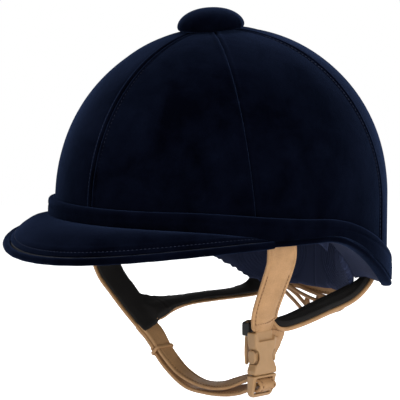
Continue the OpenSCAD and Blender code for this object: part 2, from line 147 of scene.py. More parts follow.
def crownPoint(lon, lat, grow):
    # Superellipsoid over upright sides, its top leaning forward by topLean
    lon, lat, grow = np.broadcast_arrays(lon, lat, grow)
    sx, sz = sind(lat) * sind(lon), cosd(lat)
    sy = sind(lat) * cosd(lon) + crown["topLean"] * np.maximum(0, sz)
    p, power = planSize(sx, sy), crown["sidePower"]
    r = np.where(sz > 0, (p ** power + np.maximum(sz, 0) ** power) ** (-1 / power), 1 / p)
    x = (crown["halfWidth"] + grow) * sx * r
    y = crown["setback"] - (halfLength(sy) + grow) * sy * r
    z = crown["widestLevel"] + (crown["height"] + grow) * sz * r
    return np.stack([x, y, z], -1)


def footLat(lon, grow, height):
    # Polar angle at which a line of the crown reaches this height
    down = (height - crown["widestLevel"]) * planSize(sind(lon), cosd(lon))
    return np.degrees(np.arctan2(crown["height"] + grow, down))


def shellFoot(lon):
    # Lower edge of the shell, just above the rolled strip
    return rimHeight(lon) + crown["rimRoll"] + 0.3


def lengths(points, axis):
    # Running length along one way of a grid, from its mean step
    step = np.linalg.norm(np.diff(points, axis=axis), axis=-1).mean(1 - axis)
    return np.concatenate([[0], np.cumsum(step)])


def surface(name, points, wrapU=False, wrapV=False, caps=False, heart=None, sharp=40):
    # A grid of points as quads; a closed or capped grid is turned to face outwards by the
    # sign of its volume, measured from heart
    nu, nv = points.shape[:2]
    rows = np.arange(nu if wrapU else nu - 1)
    columns = np.arange(nv if wrapV else nv - 1)
    i, j = [g.ravel() for g in np.meshgrid(rows, columns, indexing="ij")]
    i1, j1 = i + 1, j + 1
    quads = np.stack([i * nv + j, (i1 % nu) * nv + j, (i1 % nu) * nv + j1 % nv, i * nv + j1 % nv], -1)
    along = lengths(np.concatenate([points, points[:1]]) if wrapU else points, 0)
    across = lengths(np.concatenate([points, points[:, :1]], 1) if wrapV else points, 1)
    uv = np.stack([np.stack([along[i], across[j]], -1), np.stack([along[i1], across[j]], -1),
                   np.stack([along[i1], across[j1]], -1), np.stack([along[i], across[j1]], -1)], 1)
    flat = points.reshape(-1, 3)
    faces = [list(q) for q in quads.tolist()]
    if caps:
        faces += [list(range(nv))[::-1], list(range((nu - 1) * nv, nu * nv))]
    middle = flat.mean(0) if heart is None else np.array(heart, float)
    a, b, c, d = [flat[quads[:, k]] - middle for k in range(4)]
    volume = np.einsum("ij,ij->", a, np.cross(b, c)) + np.einsum("ij,ij->", a, np.cross(c, d))
    if volume < 0:
        faces = [f[::-1] for f in faces]
        uv = uv[:, ::-1]
    mesh = bpy.data.meshes.new(name)
    mesh.from_pydata((flat * millimetre).tolist(), [], faces)
    layer = mesh.uv_layers.new(name="UVMap")
    coordinates = np.zeros((len(layer.data), 2))
    coordinates[:uv.size // 2] = uv.reshape(-1, 2) * millimetre
    layer.data.foreach_set("uv", coordinates.ravel())
    return finishMesh(name, mesh, sharp)


def finishMesh(name, mesh, sharp=40):
    # Smooth shading with edges sharper than this angle kept
    mesh.update()
    mesh.polygons.foreach_set("use_smooth", [True] * len(mesh.polygons))
    mesh.set_sharp_from_angle(angle=math.radians(sharp))
    piece = bpy.data.objects.new(name, mesh)
    scene.collection.objects.link(piece)
    return piece


def bakeModifiers(piece):
    # The mesh as its modifiers leave it
    graph = bpy.context.evaluated_depsgraph_get()
    mesh = bpy.data.meshes.new_from_object(piece.evaluated_get(graph))
    piece.modifiers.clear()
    piece.data = mesh
    return piece


def solidify(piece, thickness):
    # Gives a sheet its thickness, inwards
    wall = piece.modifiers.new("wall", "SOLIDIFY")
    wall.thickness = thickness * millimetre
    wall.offset = -1
    wall.use_even_offset = True
    return bakeModifiers(piece)


def joined(name, parts):
    # Several meshes as one piece
    bpy.ops.object.select_all(action="DESELECT")
    for part in parts:
        part.select_set(True)
    bpy.context.view_layer.objects.active = parts[0]
    bpy.ops.object.join()
    parts[0].name = name
    parts[0].data.name = name
    return parts[0]


def cut(piece, tool, operation="DIFFERENCE"):
    # Takes the tool away from the piece, or keeps only what they share
    boolean = piece.modifiers.new("cut", "BOOLEAN")
    boolean.object = tool
    boolean.operation = operation
    boolean.solver = "EXACT"
    bakeModifiers(piece)
    bpy.data.objects.remove(tool)
    piece.data.set_sharp_from_angle(angle=math.radians(32))
    return piece


def getPoints(piece):
    # Vertex positions in millimetres
    flat = np.zeros(len(piece.data.vertices) * 3)
    piece.data.vertices.foreach_get("co", flat)
    return flat.reshape(-1, 3) / millimetre


def setPoints(piece, points):
    piece.data.vertices.foreach_set("co", (points * millimetre).ravel())
    piece.data.update()


def getNormals(piece):
    # Vertex normals
    flat = np.zeros(len(piece.data.vertices) * 3)
    piece.data.vertex_normals.foreach_get("vector", flat)
    return flat.reshape(-1, 3)


def dress(piece, material, slot, body, *nodes):
    # Material, finish slot (not used), the body it rides on and the plain solids it stands for
    piece.data.materials.clear()
    piece.data.materials.append(material)
    if body:
        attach(piece, body)
    if nodes:
        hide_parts(*nodes)
    return piece


def smoothPath(keys, perKey):
    # Catmull-Rom curve through every key
    keys = np.array(keys, float)
    padded = np.concatenate([keys[:1], keys, keys[-1:]])
    t = (np.arange(perKey) / perKey)[:, None, None]
    p0, p1, p2, p3 = padded[:-3], padded[1:-2], padded[2:-1], padded[3:]
    curve = 0.5 * (2 * p1 + (p2 - p0) * t + (2 * p0 - 5 * p1 + 4 * p2 - p3) * t ** 2
                   + (3 * p1 - p0 - 3 * p2 + p3) * t ** 3)
    return np.concatenate([curve.transpose(1, 0, 2).reshape(-1, keys.shape[1]), keys[-1:]])


def unit(v):
    # v divided by its length
    return v / np.maximum(np.linalg.norm(v, axis=-1, keepdims=True), 1e-9)


def tangents(path):
    # Unit direction at each point of a path
    return unit(np.gradient(path, axis=0))


def evenPath(path, step):
    # The same curve with points at even distances
    run = np.concatenate([[0], np.cumsum(np.linalg.norm(np.diff(path[:, :3], axis=0), axis=1))])
    count = max(2, int(round(run[-1] / step)) + 1)
    where = np.linspace(0, run[-1], count)
    return np.stack([np.interp(where, run, path[:, k]) for k in range(path.shape[1])], -1)


def strapFrames(keys, step):
    # Centre, tangent, sideways and outward direction and width at even steps of a strap
    path = evenPath(smoothPath(keys, 24), step)
    centre, facing, width = path[:, :3], path[:, 3:6], path[:, 6]
    tangent = tangents(centre)
    side = unit(np.cross(tangent, facing))
    out = np.cross(side, tangent)
    return centre, tangent, side, out, width


strapSection = {"step": 0.8, "edgeRadius": 0.9, "edgeFall": 0.42, "endRadius": 0.9, "endDraw": 0.8,
                "stitchInset": 2.6, "groove": 0.32, "grooveUnder": 0.6, "grooveWidth": 0.42}


def strapPiece(name, keys, thickness, lift=0.0, bulge=0.0, under=0.0, trim=0.0, stitched=True, pad=None):
    # Flat strap: rounded edges, a sunk stitch line near each edge and a soft crown between
    # them; pad(centre, across) scales the crown along the strap. Both ends close in along a
    # quarter circle, and edge is the distance from the strap's edge
    centre, _, side, out, width = strapFrames(keys, strapSection["step"])
    half = width / 2 - trim
    run = np.arange(len(centre)) * strapSection["step"]
    fromEnd = np.clip(np.minimum(run, run[-1] - run) / strapSection["endRadius"], 0, 1)
    close = np.sqrt(np.clip(1 - (1 - fromEnd) ** 2, 0.12, 1))
    near = np.array([0, 0.12, 0.4, 0.9, 1.5, 2.0, 2.35, 2.6, 2.85, 3.2, 3.9, 5.0])
    near = near[None, :] * np.minimum(1, half / 6)[:, None]
    inner = near[:, -1:] + (half[:, None] - near[:, -1:]) * np.linspace(0, 1, 5)[None, 1:]
    edge = np.concatenate([near, inner], 1)
    intoEdge = np.clip(1 - edge / strapSection["edgeRadius"], 0, 1)
    fall = (1 - np.sqrt(np.clip(1 - intoEdge ** 2, 0, 1))) * thickness * strapSection["edgeFall"]
    soft = ease((edge - strapSection["stitchInset"]) / 4)
    groove = bump(edge, strapSection["stitchInset"], strapSection["grooveWidth"])
    sunk = strapSection["groove"] * groove * (1 if stitched else 0)
    half1 = half[:, None]
    amount = 1.0 if pad is None else pad(centre[:, None, :] + 0 * edge[..., None], half1 - edge)
    top = thickness / 2 - fall - sunk + bulge * soft * amount
    low = -thickness / 2 + fall + sunk * strapSection["grooveUnder"] - under * soft
    across = np.concatenate([half1 - edge, (edge - half1)[:, ::-1][:, 1:],
                             (edge - half1), (half1 - edge)[:, ::-1][:, 1:]], 1)
    height = np.concatenate([top, top[:, ::-1][:, 1:], low, low[:, ::-1][:, 1:]], 1)
    across = across - np.sign(across) * (1 - close)[:, None] * strapSection["endDraw"]
    height = height * close[:, None] + lift
    points = centre[:, None] + side[:, None] * across[..., None] + out[:, None] * height[..., None]
    return surface(name, points, wrapV=True, caps=True)


def tube(name, path, radius, sides=12):
    # Round section carried along a path without twist
    tangent = tangents(path)
    first = np.cross(tangent[0], [0.31, 0.17, 0.94])
    normals = [unit(first)]
    for t in tangent[1:]:
        normals.append(unit(normals[-1] - t * (normals[-1] @ t)))
    u = np.array(normals)
    v = np.cross(tangent, u)
    angle = circle(sides)
    ring = u[:, None] * np.cos(angle)[None, :, None] + v[:, None] * np.sin(angle)[None, :, None]
    size = np.broadcast_to(radius, len(path))[:, None, None]
    return surface(name, path[:, None] + ring * size, wrapV=True, caps=True)


thread = {"spacing": 3.0, "length": 2.1, "radius": 0.3, "rise": 0.1}


def stitches(name, centres, along, out, values=thread):
    # One small capsule for each place: rings of five points that swell and sink at the ends
    u = np.linspace(-1, 1, 5)
    ring = circle(6)
    swell = np.sqrt(np.clip(1 - u ** 2, 0.06, 1))
    side = unit(np.cross(along, out))
    x = u * values["length"] / 2
    z = values["rise"] - 0.28 * u ** 2
    local = (centres[:, None, None] + along[:, None, None] * x[None, :, None, None]
             + side[:, None, None] * (values["radius"] * swell[:, None] * np.cos(ring))[None, ..., None]
             + out[:, None, None] * (z[:, None] + values["radius"] * swell[:, None]
                                     * np.sin(ring))[None, ..., None])
    count = len(centres)
    base = (np.arange(count) * 30)[:, None]
    i, j = [g.ravel() for g in np.meshgrid(np.arange(4), np.arange(6), indexing="ij")]
    quad = np.stack([i * 6 + j, i * 6 + (j + 1) % 6, (i + 1) * 6 + (j + 1) % 6, (i + 1) * 6 + j], -1)
    faces = (base[:, None] + quad[None]).reshape(-1, 4).tolist()
    for k in range(count):
        faces.append([k * 30 + n for n in range(5, -1, -1)])
        faces.append([k * 30 + 24 + n for n in range(6)])
    flat = local.reshape(-1, 3)
    a, b, c = [flat[np.array(faces[:24])[:, n]] - flat[:30].mean(0) for n in range(3)]
    if np.einsum("ij,ij->", a, np.cross(b, c)) < 0:
        faces = [f[::-1] for f in faces]
    mesh = bpy.data.meshes.new(name)
    mesh.from_pydata((flat * millimetre).tolist(), [], faces)
    return finishMesh(name, mesh, 180)


def strapStitches(name, keys, thickness, lift=0.0, start=4.0, stop=4.0, inset=2.6, both=True):
    # A row of stitches inside each edge, on the outer face and, if both, on the inner one
    centre, tangent, side, out, width = strapFrames(keys, thread["spacing"])
    run = np.arange(len(centre)) * thread["spacing"]
    keep = (run > start) & (run < run[-1] - stop)
    places, ways, outs = [], [], []
    for hand in (-1, 1):
        for face in ((1, -1) if both else (1,)):
            level = out * (thickness / 2 * face + lift)
            places.append((centre + side * (width / 2 - inset)[:, None] * hand + level)[keep])
            ways.append(tangent[keep])
            outs.append((out * face)[keep])
    return stitches(name, np.concatenate(places), np.concatenate(ways), np.concatenate(outs))


def newMaterial(name, **sockets):
    # A Principled material with its constant values set on the shader's own sockets
    material = bpy.data.materials.new(name)
    material.use_nodes = True
    shader = material.node_tree.nodes["Principled BSDF"]
    for key, value in sockets.items():
        shader.inputs[key.replace("_", " ")].default_value = value
    return material, material.node_tree, shader


def node(tree, kind, inputs=None, **settings):
    # A node with its settings; inputs holds values or the sockets to link
    made = tree.nodes.new("ShaderNode" + kind)
    for key, value in settings.items():
        setattr(made, key, value)
    for key, value in (inputs or {}).items():
        if isinstance(value, bpy.types.NodeSocket):
            tree.links.new(value, made.inputs[key])
        else:
            made.inputs[key].default_value = value
    return made


def place(tree, onSurface):
    # Object coordinates, or the piece's own UV map where a pattern follows the surface
    source = node(tree, "TexCoord")
    return source.outputs["UV" if onSurface else "Object"]


def noise(tree, where, scale, detail=3.0, roughness=0.55, distortion=0.0):
    return node(tree, "TexNoise", {"Vector": where, "Scale": scale, "Detail": detail,
                                   "Roughness": roughness, "Distortion": distortion}).outputs["Fac"]


def ramp(tree, factor, *stops):
    # Colour ramp from (position, colour) pairs
    made = node(tree, "ValToRGB", {"Fac": factor})
    elements = made.color_ramp.elements
    while len(elements) < len(stops):
        elements.new(0.5)
    for element, (position, colour) in zip(elements, stops):
        element.position = position
        element.color = (*colour, 1)
    return made.outputs["Color"]


def grey(value):
    # The same red, green and blue
    return (value, value, value)


def math2(tree, operation, a, b=0.0):
    return node(tree, "Math", {0: a, 1: b}, operation=operation).outputs[0]


def mixColour(tree, factor, a, b, blend="MIX"):
    # Two colours or sockets mixed by factor
    made = node(tree, "Mix", data_type="RGBA", blend_type=blend)
    for index, value in ((0, factor), (6, a), (7, b)):
        if isinstance(value, bpy.types.NodeSocket):
            tree.links.new(value, made.inputs[index])
        else:
            made.inputs[index].default_value = value if index == 0 else (*value, 1)
    return made.outputs[2]


def bumpNode(tree, height, strength, distance, before=None):
    # Bump from a height, on top of an earlier bump
    inputs = {"Height": height, "Strength": strength, "Distance": distance}
    if before is not None:
        inputs["Normal"] = before
    return node(tree, "Bump", inputs).outputs["Normal"]


# The brushed colour is the pale tone of patches of laid-over pile, partly real nap and partly a painted
# sheen
velvet = {"deep": (0.0004, 0.0005, 0.0017), "brushedSheen": (0.0019, 0.0027, 0.0070),
          "patch": 17, "streak": 55, "pile": 1500, "sheen": 0.13, "sheenTint": (0.24, 0.38, 0.85)}


def shade(tone, factor):
    # A tone made darker or lighter, channel by channel
    return tuple(min(1, c * factor) for c in tone)


def wire(tree, shader, **sockets):
    # Links each socket to the shader's input of that name
    for key, socket in sockets.items():
        tree.links.new(socket, shader.inputs[key.replace("_", " ")])


def velvetMaterial():
    # Pile brushed in soft random patches: dark face on; where the nap leans the base colour is painted
    # paler, a painted sheen, while the shader's own sheen shows at the edges
    material, tree, shader = newMaterial(
        "navyVelvet", Roughness=0.92, Specular_IOR_Level=0.0, Sheen_Weight=velvet["sheen"],
        Sheen_Roughness=0.38, Sheen_Tint=(*velvet["sheenTint"], 1))
    where = place(tree, False)
    patch = noise(tree, where, velvet["patch"], 5, 0.6, 0.6)
    streak = noise(tree, where, velvet["streak"], 4, 0.6, 0.3)
    pile = noise(tree, where, velvet["pile"], 2, 0.7)
    # Mask of random patches where the pile lies over; the base colour is painted paler there, as a painted
    # sheen
    napSheenMask = math2(tree, "ADD", math2(tree, "MULTIPLY", patch, 0.62), math2(tree, "MULTIPLY", streak, 0.38))
    base = ramp(tree, napSheenMask, (0.40, velvet["deep"]), (0.66, velvet["brushedSheen"]))
    grain = ramp(tree, pile, (0.3, grey(0.72)), (0.75, grey(1.25)))
    soft = bumpNode(tree, streak, 0.35, 0.0012)
    wire(tree, shader, Base_Color=mixColour(tree, 1.0, base, grain, "MULTIPLY"),
         Normal=bumpNode(tree, pile, 0.5, 0.00035, soft))
    return material


def leatherMaterial(name, tone, worn=0.16, roughness=0.56):
    # Smooth-grained leather: small pebbled cells, cloudy tone and a slight handled shine
    material, tree, shader = newMaterial(name, Specular_IOR_Level=0.38)
    where = place(tree, True)
    cloud = noise(tree, where, 70, 4, 0.6)
    fine = noise(tree, where, 900, 3, 0.6)
    cells = node(tree, "TexVoronoi", {"Vector": where, "Scale": 1500.0}, feature="DISTANCE_TO_EDGE")
    base = ramp(tree, cloud, (0.32, shade(tone, 1 - worn)), (0.7, shade(tone, 1 + worn * 0.7)))
    pores = ramp(tree, cells.outputs["Distance"], (0.0, grey(0.86)), (0.16, grey(1.0)))
    speck = ramp(tree, fine, (0.3, grey(0.93)), (0.7, grey(1.05)))
    colour = mixColour(tree, 1.0, mixColour(tree, 1.0, base, pores, "MULTIPLY"), speck, "MULTIPLY")
    gloss = ramp(tree, cloud, (0.3, grey(roughness + 0.1)), (0.7, grey(roughness - 0.06)))
    pebble = bumpNode(tree, cells.outputs["Distance"], 0.35, 0.00022)
    wire(tree, shader, Base_Color=colour, Roughness=gloss, Normal=bumpNode(tree, fine, 0.3, 0.0003, pebble))
    return material


def threadMaterial(name, tone):
    # Waxed thread: two plies shown as slanting light and dark bands
    material, tree, shader = newMaterial(name, Roughness=0.7, Specular_IOR_Level=0.3)
    where = place(tree, False)
    ply = node(tree, "TexWave", {"Vector": where, "Scale": 420.0, "Distortion": 1.5},
               bands_direction="DIAGONAL")
    wire(tree, shader, Base_Color=ramp(tree, ply.outputs["Fac"], (0.2, shade(tone, 0.72)), (0.8, tone)),
         Normal=bumpNode(tree, ply.outputs["Fac"], 0.4, 0.0002))
    return material


def plasticMaterial(name, tone, roughness=0.42, grain=0.12):
    # Moulded plastic with a fine spark-eroded texture and faint flow marks
    material, tree, shader = newMaterial(name, Specular_IOR_Level=0.45)
    where = place(tree, False)
    flow = noise(tree, where, 120, 3, 0.5, 0.4)
    etch = noise(tree, where, 2600, 2, 0.6)
    wire(tree, shader, Base_Color=ramp(tree, flow, (0.3, shade(tone, 0.93)), (0.7, shade(tone, 1.03))),
         Roughness=ramp(tree, flow, (0.3, grey(roughness + 0.06)), (0.7, grey(roughness - 0.04))),
         Normal=bumpNode(tree, etch, grain, 0.0002))
    return material


def clothMaterial(name, deep, pale, pitch, sheen=0.3):
    # Knit or woven cloth: rows of small raised loops, offset from row to row
    material, tree, shader = newMaterial(
        name, Roughness=0.9, Specular_IOR_Level=0.15, Sheen_Weight=sheen, Sheen_Roughness=0.4,
        Sheen_Tint=(*[min(1, c * 9 + 0.05) for c in pale], 1))
    split = node(tree, "SeparateXYZ", {"Vector": place(tree, True)})
    turn = 2 * math.pi / (pitch * millimetre)
    u = math2(tree, "MULTIPLY", split.outputs["X"], turn)
    v = math2(tree, "MULTIPLY", split.outputs["Y"], turn)
    loops = math2(tree, "MULTIPLY", math2(tree, "SINE", math2(tree, "ADD", u, v)),
                  math2(tree, "SINE", math2(tree, "SUBTRACT", u, v)))
    raised = math2(tree, "MULTIPLY_ADD", loops, 0.5)
    raised.node.inputs[2].default_value = 0.5
    cloud = noise(tree, place(tree, False), 40, 4, 0.6)
    base = ramp(tree, raised, (0.25, deep), (0.85, pale))
    tone = ramp(tree, cloud, (0.3, grey(0.8)), (0.7, grey(1.15)))
    fuzz = noise(tree, place(tree, False), 1300, 2, 0.6)
    knit = bumpNode(tree, raised, 0.7, 0.00035)
    wire(tree, shader, Base_Color=mixColour(tree, 1.0, base, tone, "MULTIPLY"),
         Normal=bumpNode(tree, fuzz, 0.25, 0.0003, knit))
    return material


def foamMaterial():
    # Expanded beads pressed together
    material, tree, shader = newMaterial("expandedFoam", Roughness=0.7)
    beads = node(tree, "TexVoronoi", {"Vector": place(tree, False), "Scale": 420.0},
                 feature="DISTANCE_TO_EDGE").outputs["Distance"]
    wire(tree, shader, Base_Color=ramp(tree, beads, (0.0, grey(0.55)), (0.12, grey(0.82))),
         Normal=bumpNode(tree, beads, 0.5, 0.0006))
    return material


def metalMaterial(name, tone, roughness):
    # Pressed metal with fine scratches
    material, tree, shader = newMaterial(name, Metallic=1.0)
    scratch = noise(tree, place(tree, False), 700, 4, 0.7, 1.0)
    wire(tree, shader, Base_Color=ramp(tree, scratch, (0.3, shade(tone, 0.8)), (0.7, tone)),
         Roughness=ramp(tree, scratch, (0.3, grey(roughness + 0.12)), (0.7, grey(roughness))))
    return material


finish = {
    "velvet": velvetMaterial(),
    "leather": leatherMaterial("tanLeather", (0.47, 0.258, 0.113)),
    "leatherEdge": leatherMaterial("tanFlesh", (0.60, 0.37, 0.19), worn=0.2, roughness=0.72),
    "lace": leatherMaterial("laceLeather", (0.40, 0.215, 0.10), worn=0.22, roughness=0.5),
    "thread": threadMaterial("tanThread", (0.24, 0.125, 0.058)),
    "paleThread": threadMaterial("paleThread", (0.62, 0.45, 0.28)),
    "navyThread": threadMaterial("navyThread", (0.012, 0.016, 0.04)),
    "plastic": plasticMaterial("tanPlastic", (0.395, 0.225, 0.098)),
    "padding": clothMaterial("blackPadding", (0.0085, 0.0078, 0.0072), (0.021, 0.019, 0.018), 0.9, 0.12),
    "mesh": clothMaterial("navyKnit", (0.004, 0.0055, 0.014), (0.013, 0.018, 0.042), 2.1, 0.25),
    "pad": clothMaterial("navyPadKnit", (0.005, 0.007, 0.018), (0.018, 0.025, 0.06), 1.7, 0.35),
    "rubber": plasticMaterial("blackElastic", (0.006, 0.006, 0.0065), 0.6, 0.3),
    "shell": plasticMaterial("mouldedShell", (0.03, 0.03, 0.034), 0.5, 0.2),
    "foam": foamMaterial(),
    "steel": metalMaterial("rivetSteel", (0.55, 0.55, 0.54), 0.3),
    "brass": metalMaterial("agedBrass", (0.42, 0.29, 0.13), 0.32),
}
velvetLook = finish["velvet"], "velvet", "helmet"
leatherLook = finish["leather"], "tan_leather"
threadLook = finish["thread"], "tan_leather"
plasticLook = finish["plastic"], "buckle_plastic"
print("materials:", len(finish))

seams = {"lons": [0, 61, 121, 180, 239, 299, 360], "ridge": [0.75, 0.3, 0.5, 0.6, 0.5, 0.3, 0.75],
         "ridgeAt": 2.3, "ridgeWidth": 1.35, "edgeDrop": 1.15, "edgeWidth": 0.62, "gap": 0.05,
         "pucker": 0.07, "puckerStep": 3.0, "puckerAt": 3.6, "hollow": 0.16, "hollowAt": 4.4,
         "slack": 0.18, "threadAt": 3.9, "rows": 260, "middle": 14, "topLat": 6}


def arcPerDegree(lon, lat):
    # Length along a level line of the crown for one degree
    step = crownPoint(lon + 0.5, lat, 0) - crownPoint(lon - 0.5, lat, 0)
    return np.linalg.norm(step, axis=-1)


def crownPanel(index):
    # Columns at fixed distances from each seam, evenly spread between; the cloth swells into
    # a ridge beside the seam and turns down into it
    lonA, lonB = seams["lons"][index], seams["lons"][index + 1]
    near = np.array([0, 0.22, 0.5, 0.85, 1.25, 1.7, 2.2, 2.7, 3.2, 3.8, 4.5, 5.4, 6.6, 8.2, 10.5, 13.5])
    v = np.linspace(0, 1, seams["rows"])[:, None]
    lat = lerp(seams["topLat"], footLat(lonA, 0, shellFoot(lonA)), v)
    latB = lerp(seams["topLat"], footLat(lonB, 0, shellFoot(lonB)), v)
    arcA, arcB = arcPerDegree(lonA, lat), arcPerDegree(lonB, latB)
    span = (lonB - lonA) * np.minimum(arcA, arcB)
    shrink = np.minimum(1, span * 0.4 / near[-1])
    distance = near[None, :] * shrink + seams["gap"]
    lonLeft, lonRight = lonA + distance / arcA, lonB - distance / arcB
    middle = np.linspace(0, 1, seams["middle"] + 2)[None, 1:-1]
    lonMiddle = lonLeft[:, -1:] + (lonRight[:, -1:] - lonLeft[:, -1:]) * middle
    lon = np.concatenate([lonLeft, lonMiddle, lonRight[:, ::-1]], 1)
    fromA, fromB = (lon - lonA) * arcA, (lonB - lon) * arcB
    lat = lerp(seams["topLat"], footLat(lon, 0, shellFoot(lon)), v)
    flat = crownPoint(lon, lat, 0)
    run = np.concatenate([[0], np.cumsum(np.linalg.norm(np.diff(flat[:, 0], axis=0), axis=1))])[:, None]
    lift = 0
    for away, height in ((fromA, seams["ridge"][index]), (fromB, seams["ridge"][index + 1])):
        lift = lift + height * bump(away, seams["ridgeAt"], seams["ridgeWidth"])
        lift = lift - (0.35 + height) * seams["edgeDrop"] * bump(away, 0, seams["edgeWidth"])
        wave = np.cos(2 * math.pi * run / seams["puckerStep"])
        lift = lift - seams["pucker"] * (0.4 + height) * wave * bump(away, seams["puckerAt"], 1.0)
        lift = lift - seams["hollow"] * height * bump(away, seams["hollowAt"], 0.8)
    slack = seams["slack"] * np.sin(lon * 0.21 + 1.7 * index) * np.sin(lat * 0.09 + index)
    return crownPoint(lon, lat, lift + slack * ease(v * 3))


coverNodes = ["cover_front_left", "cover_side_left", "cover_rear_left",
              "cover_rear_right", "cover_side_right", "cover_front_right"]
for index, name in enumerate(coverNodes):
    panel = surface("velvet_" + name, crownPanel(index), heart=(0, 0, 20))
    solidify(panel, 1.5)
    dress(panel, *velvetLook, name)


def seamStitches():
    # Tiny stitches of the felled seams, one row beside each seam
    places, ways, outs = [], [], []
    for lon, height in zip(seams["lons"][:-1], seams["ridge"]):
        v = np.linspace(0.14, 0.985, 700)
        line = crownPoint(lon, lerp(seams["topLat"], footLat(lon, 0, shellFoot(lon)), v), 0)
        line = evenPath(line, 3.0)
        for hand in ((-1, 1) if height > 0.5 else (1,)):
            tangent = tangents(line)
            out = unit(line - np.array([0, 0, 20]))
            side = unit(np.cross(tangent, out))
            out = np.cross(side, tangent)
            places.append(line + side * hand * seams["threadAt"])
            ways.append(tangent)
            outs.append(out)
    values = {"length": 1.9, "radius": 0.17, "rise": 0.02}
    return stitches("crown_seam_thread", np.concatenate(places), np.concatenate(ways),
                    np.concatenate(outs), values)


dress(seamStitches(), finish["navyThread"], "velvet", "helmet")
print("velvet panels made")

button = {"radius": 25.1, "forward": 1.2, "height": 15.4, "edge": 2.2, "tuck": 1.7, "tilt": 5,
          "folds": 0.25, "sides": 180}


def buttonCover():
    # Dome turned under at its edge, with shallow gathers that fade towards the top
    seat = crownPoint(0, 0, 0) + np.array([0, button["forward"], 0])
    t = np.linspace(0, 1, 60)
    radius = button["radius"] * np.sin(t * math.pi / 2) ** 0.92
    height = button["edge"] + (button["height"] - button["edge"]) * np.cos(t * math.pi / 2) ** 1.12
    tuckT = np.linspace(0, 1, 14)[1:]
    radius = np.concatenate([radius, button["radius"] - button["tuck"] * tuckT ** 2, [10]])
    height = np.concatenate([height, button["edge"] - 2.7 * np.sin(tuckT * math.pi / 2), [-0.6]])
    angle = circle(button["sides"])
    low = ease((13 - height) / 12)
    ripple = (np.sin(9 * angle + 0.6) * 0.5 + np.sin(14 * angle + 2.1) * 0.35
              + 1.6 * np.exp(-((angle - 0.35) / 0.10) ** 2))
    share = (radius / button["radius"])[:, None]
    r = radius[:, None] + button["folds"] * low[:, None] * ripple[None] * share
    z = height[:, None] + 0.12 * np.sin(2 * angle + 1)[None] * share
    x, y = r * np.cos(angle), r * np.sin(angle)
    tilt = math.radians(button["tilt"])
    points = np.stack([x, y * math.cos(tilt) - z * math.sin(tilt),
                       y * math.sin(tilt) + z * math.cos(tilt)], -1) + seat
    return surface("velvet_button", points, wrapV=True, caps=True, sharp=60)


dress(buttonCover(), *velvetLook, "button_cover")

band = {"columns": 540, "ripple": 0.12}


def bandPoints():
    # Section from the crown out over a rounded upper edge, down the face and back under
    lon = np.linspace(0, 360, band["columns"], endpoint=False)[:, None]
    low, high = shellFoot(lon), bandHeight(lon)
    relief = crown["bandRelief"] - 1.6 * ease((fold(lon) - 60) / 100)
    relief = relief + band["ripple"] * np.sin(np.radians(lon) * 7) * np.sin(np.radians(lon) * 3 + 1)
    turn = np.linspace(0, math.pi / 2, 9)[None]
    topGrow = relief * (0.30 + 0.70 * np.sin(turn))
    topZ = high - 3.4 * (1 - np.cos(turn)) ** 1.1
    face = np.linspace(0, 1, 14)[None, 1:]
    faceZ = lerp(topZ[:, -1:], low, face)
    faceGrow = relief + 0.25 * np.sin(face * math.pi) - 0.45 * bump(faceZ - high, -6.2, 0.7)
    grow = np.concatenate([0 * lon + 0.15, topGrow, faceGrow, 0 * lon + 0.3], 1)
    z = np.concatenate([high - 0.9, topZ, faceZ, low], 1)
    return wallPoint(lon, grow, z)


dress(surface("velvet_band", bandPoints(), wrapU=True, wrapV=True, sharp=60), *velvetLook, "hat_band")


def rimPoints():
    # Rolled strip: a soft rounded section that wraps the edge of the shell
    lon = np.linspace(0, 360, 480, endpoint=False)[:, None]
    turn = circle(28)[None]
    roll = crown["rimRoll"]
    c, s = np.cos(turn), np.sin(turn)
    grow = -0.3 + 4.2 * squared(c, 0.75)
    z = rimHeight(lon) + roll * 0.52 + roll * 0.48 * squared(s, 0.8)
    grow = grow + 0.10 * np.sin(np.radians(lon) * 31) * (c > 0.3)
    return wallPoint(lon, grow, z)


dress(surface("velvet_rim", rimPoints(), wrapU=True, wrapV=True, sharp=60), *velvetLook, "rim_strip")
print("band and rim made")

peak = {"span": 65, "reach": 45, "tipHeight": -6, "core": 3, "edge": 2.8, "cloth": 1.35,
        "rise": 25, "grooveAt": 3.6, "grooveWidth": 0.55, "grooveDepth": 0.5, "power": 2.1,
        "roll": 0.30, "waver": 0.08, "columns": 220, "rows": 64, "inset": 0.985, "wall": 1.2}


def peakRoot(t):
    # Where the peak leaves the band, from end to end as t goes from -1 to 1
    return wallPoint(t * peak["span"], crown["bandRelief"] + 0.3, 12 - 9 * np.abs(t) ** 4)


def peakRim(t):
    # Long curve from one end of the peak round its front to the other
    a = 90 * t
    end, front = peakRoot(np.array(1.0)), peakRoot(np.array(0.0))
    x = end[0] * sind(a) - 4.5 * sind(2 * a)
    y = end[1] - (end[1] - front[1] + peak["reach"]) * cosd(a)
    z = end[2] + (peak["tipHeight"] - end[2]) * np.maximum(cosd(a), 0) ** peak["power"]
    return np.stack([x, y, z], -1)


def peakSheet(side):
    # Straight from root to rim with a parabola of rise added, side is +1 above and -1 below;
    # a stitch groove follows the rim
    t = np.linspace(-0.987, 0.987, peak["columns"])[:, None]
    s = (1 - (1 - np.linspace(0, 1, peak["rows"])[None]) ** 1.7) * peak["inset"]
    root, rim = peakRoot(t), peakRim(t)
    points = root + (rim - root) * s[..., None]
    points[..., 2] += peak["rise"] * s * (1 - s) * cosd(90 * t)
    depth = np.linalg.norm(rim - root, axis=-1) * (peak["inset"] - s)
    groove = peak["grooveDepth"] * bump(depth, peak["grooveAt"], peak["grooveWidth"])
    roll = peak["roll"] * bump(depth, peak["grooveAt"] + 2.6, 1.6) * (side > 0)
    waver = peak["waver"] * np.sin(t * 21) * np.sin(s * 7)
    points[..., 2] += side * (peak["core"] / 2 + peak["cloth"] - groove + roll + waver)
    return points


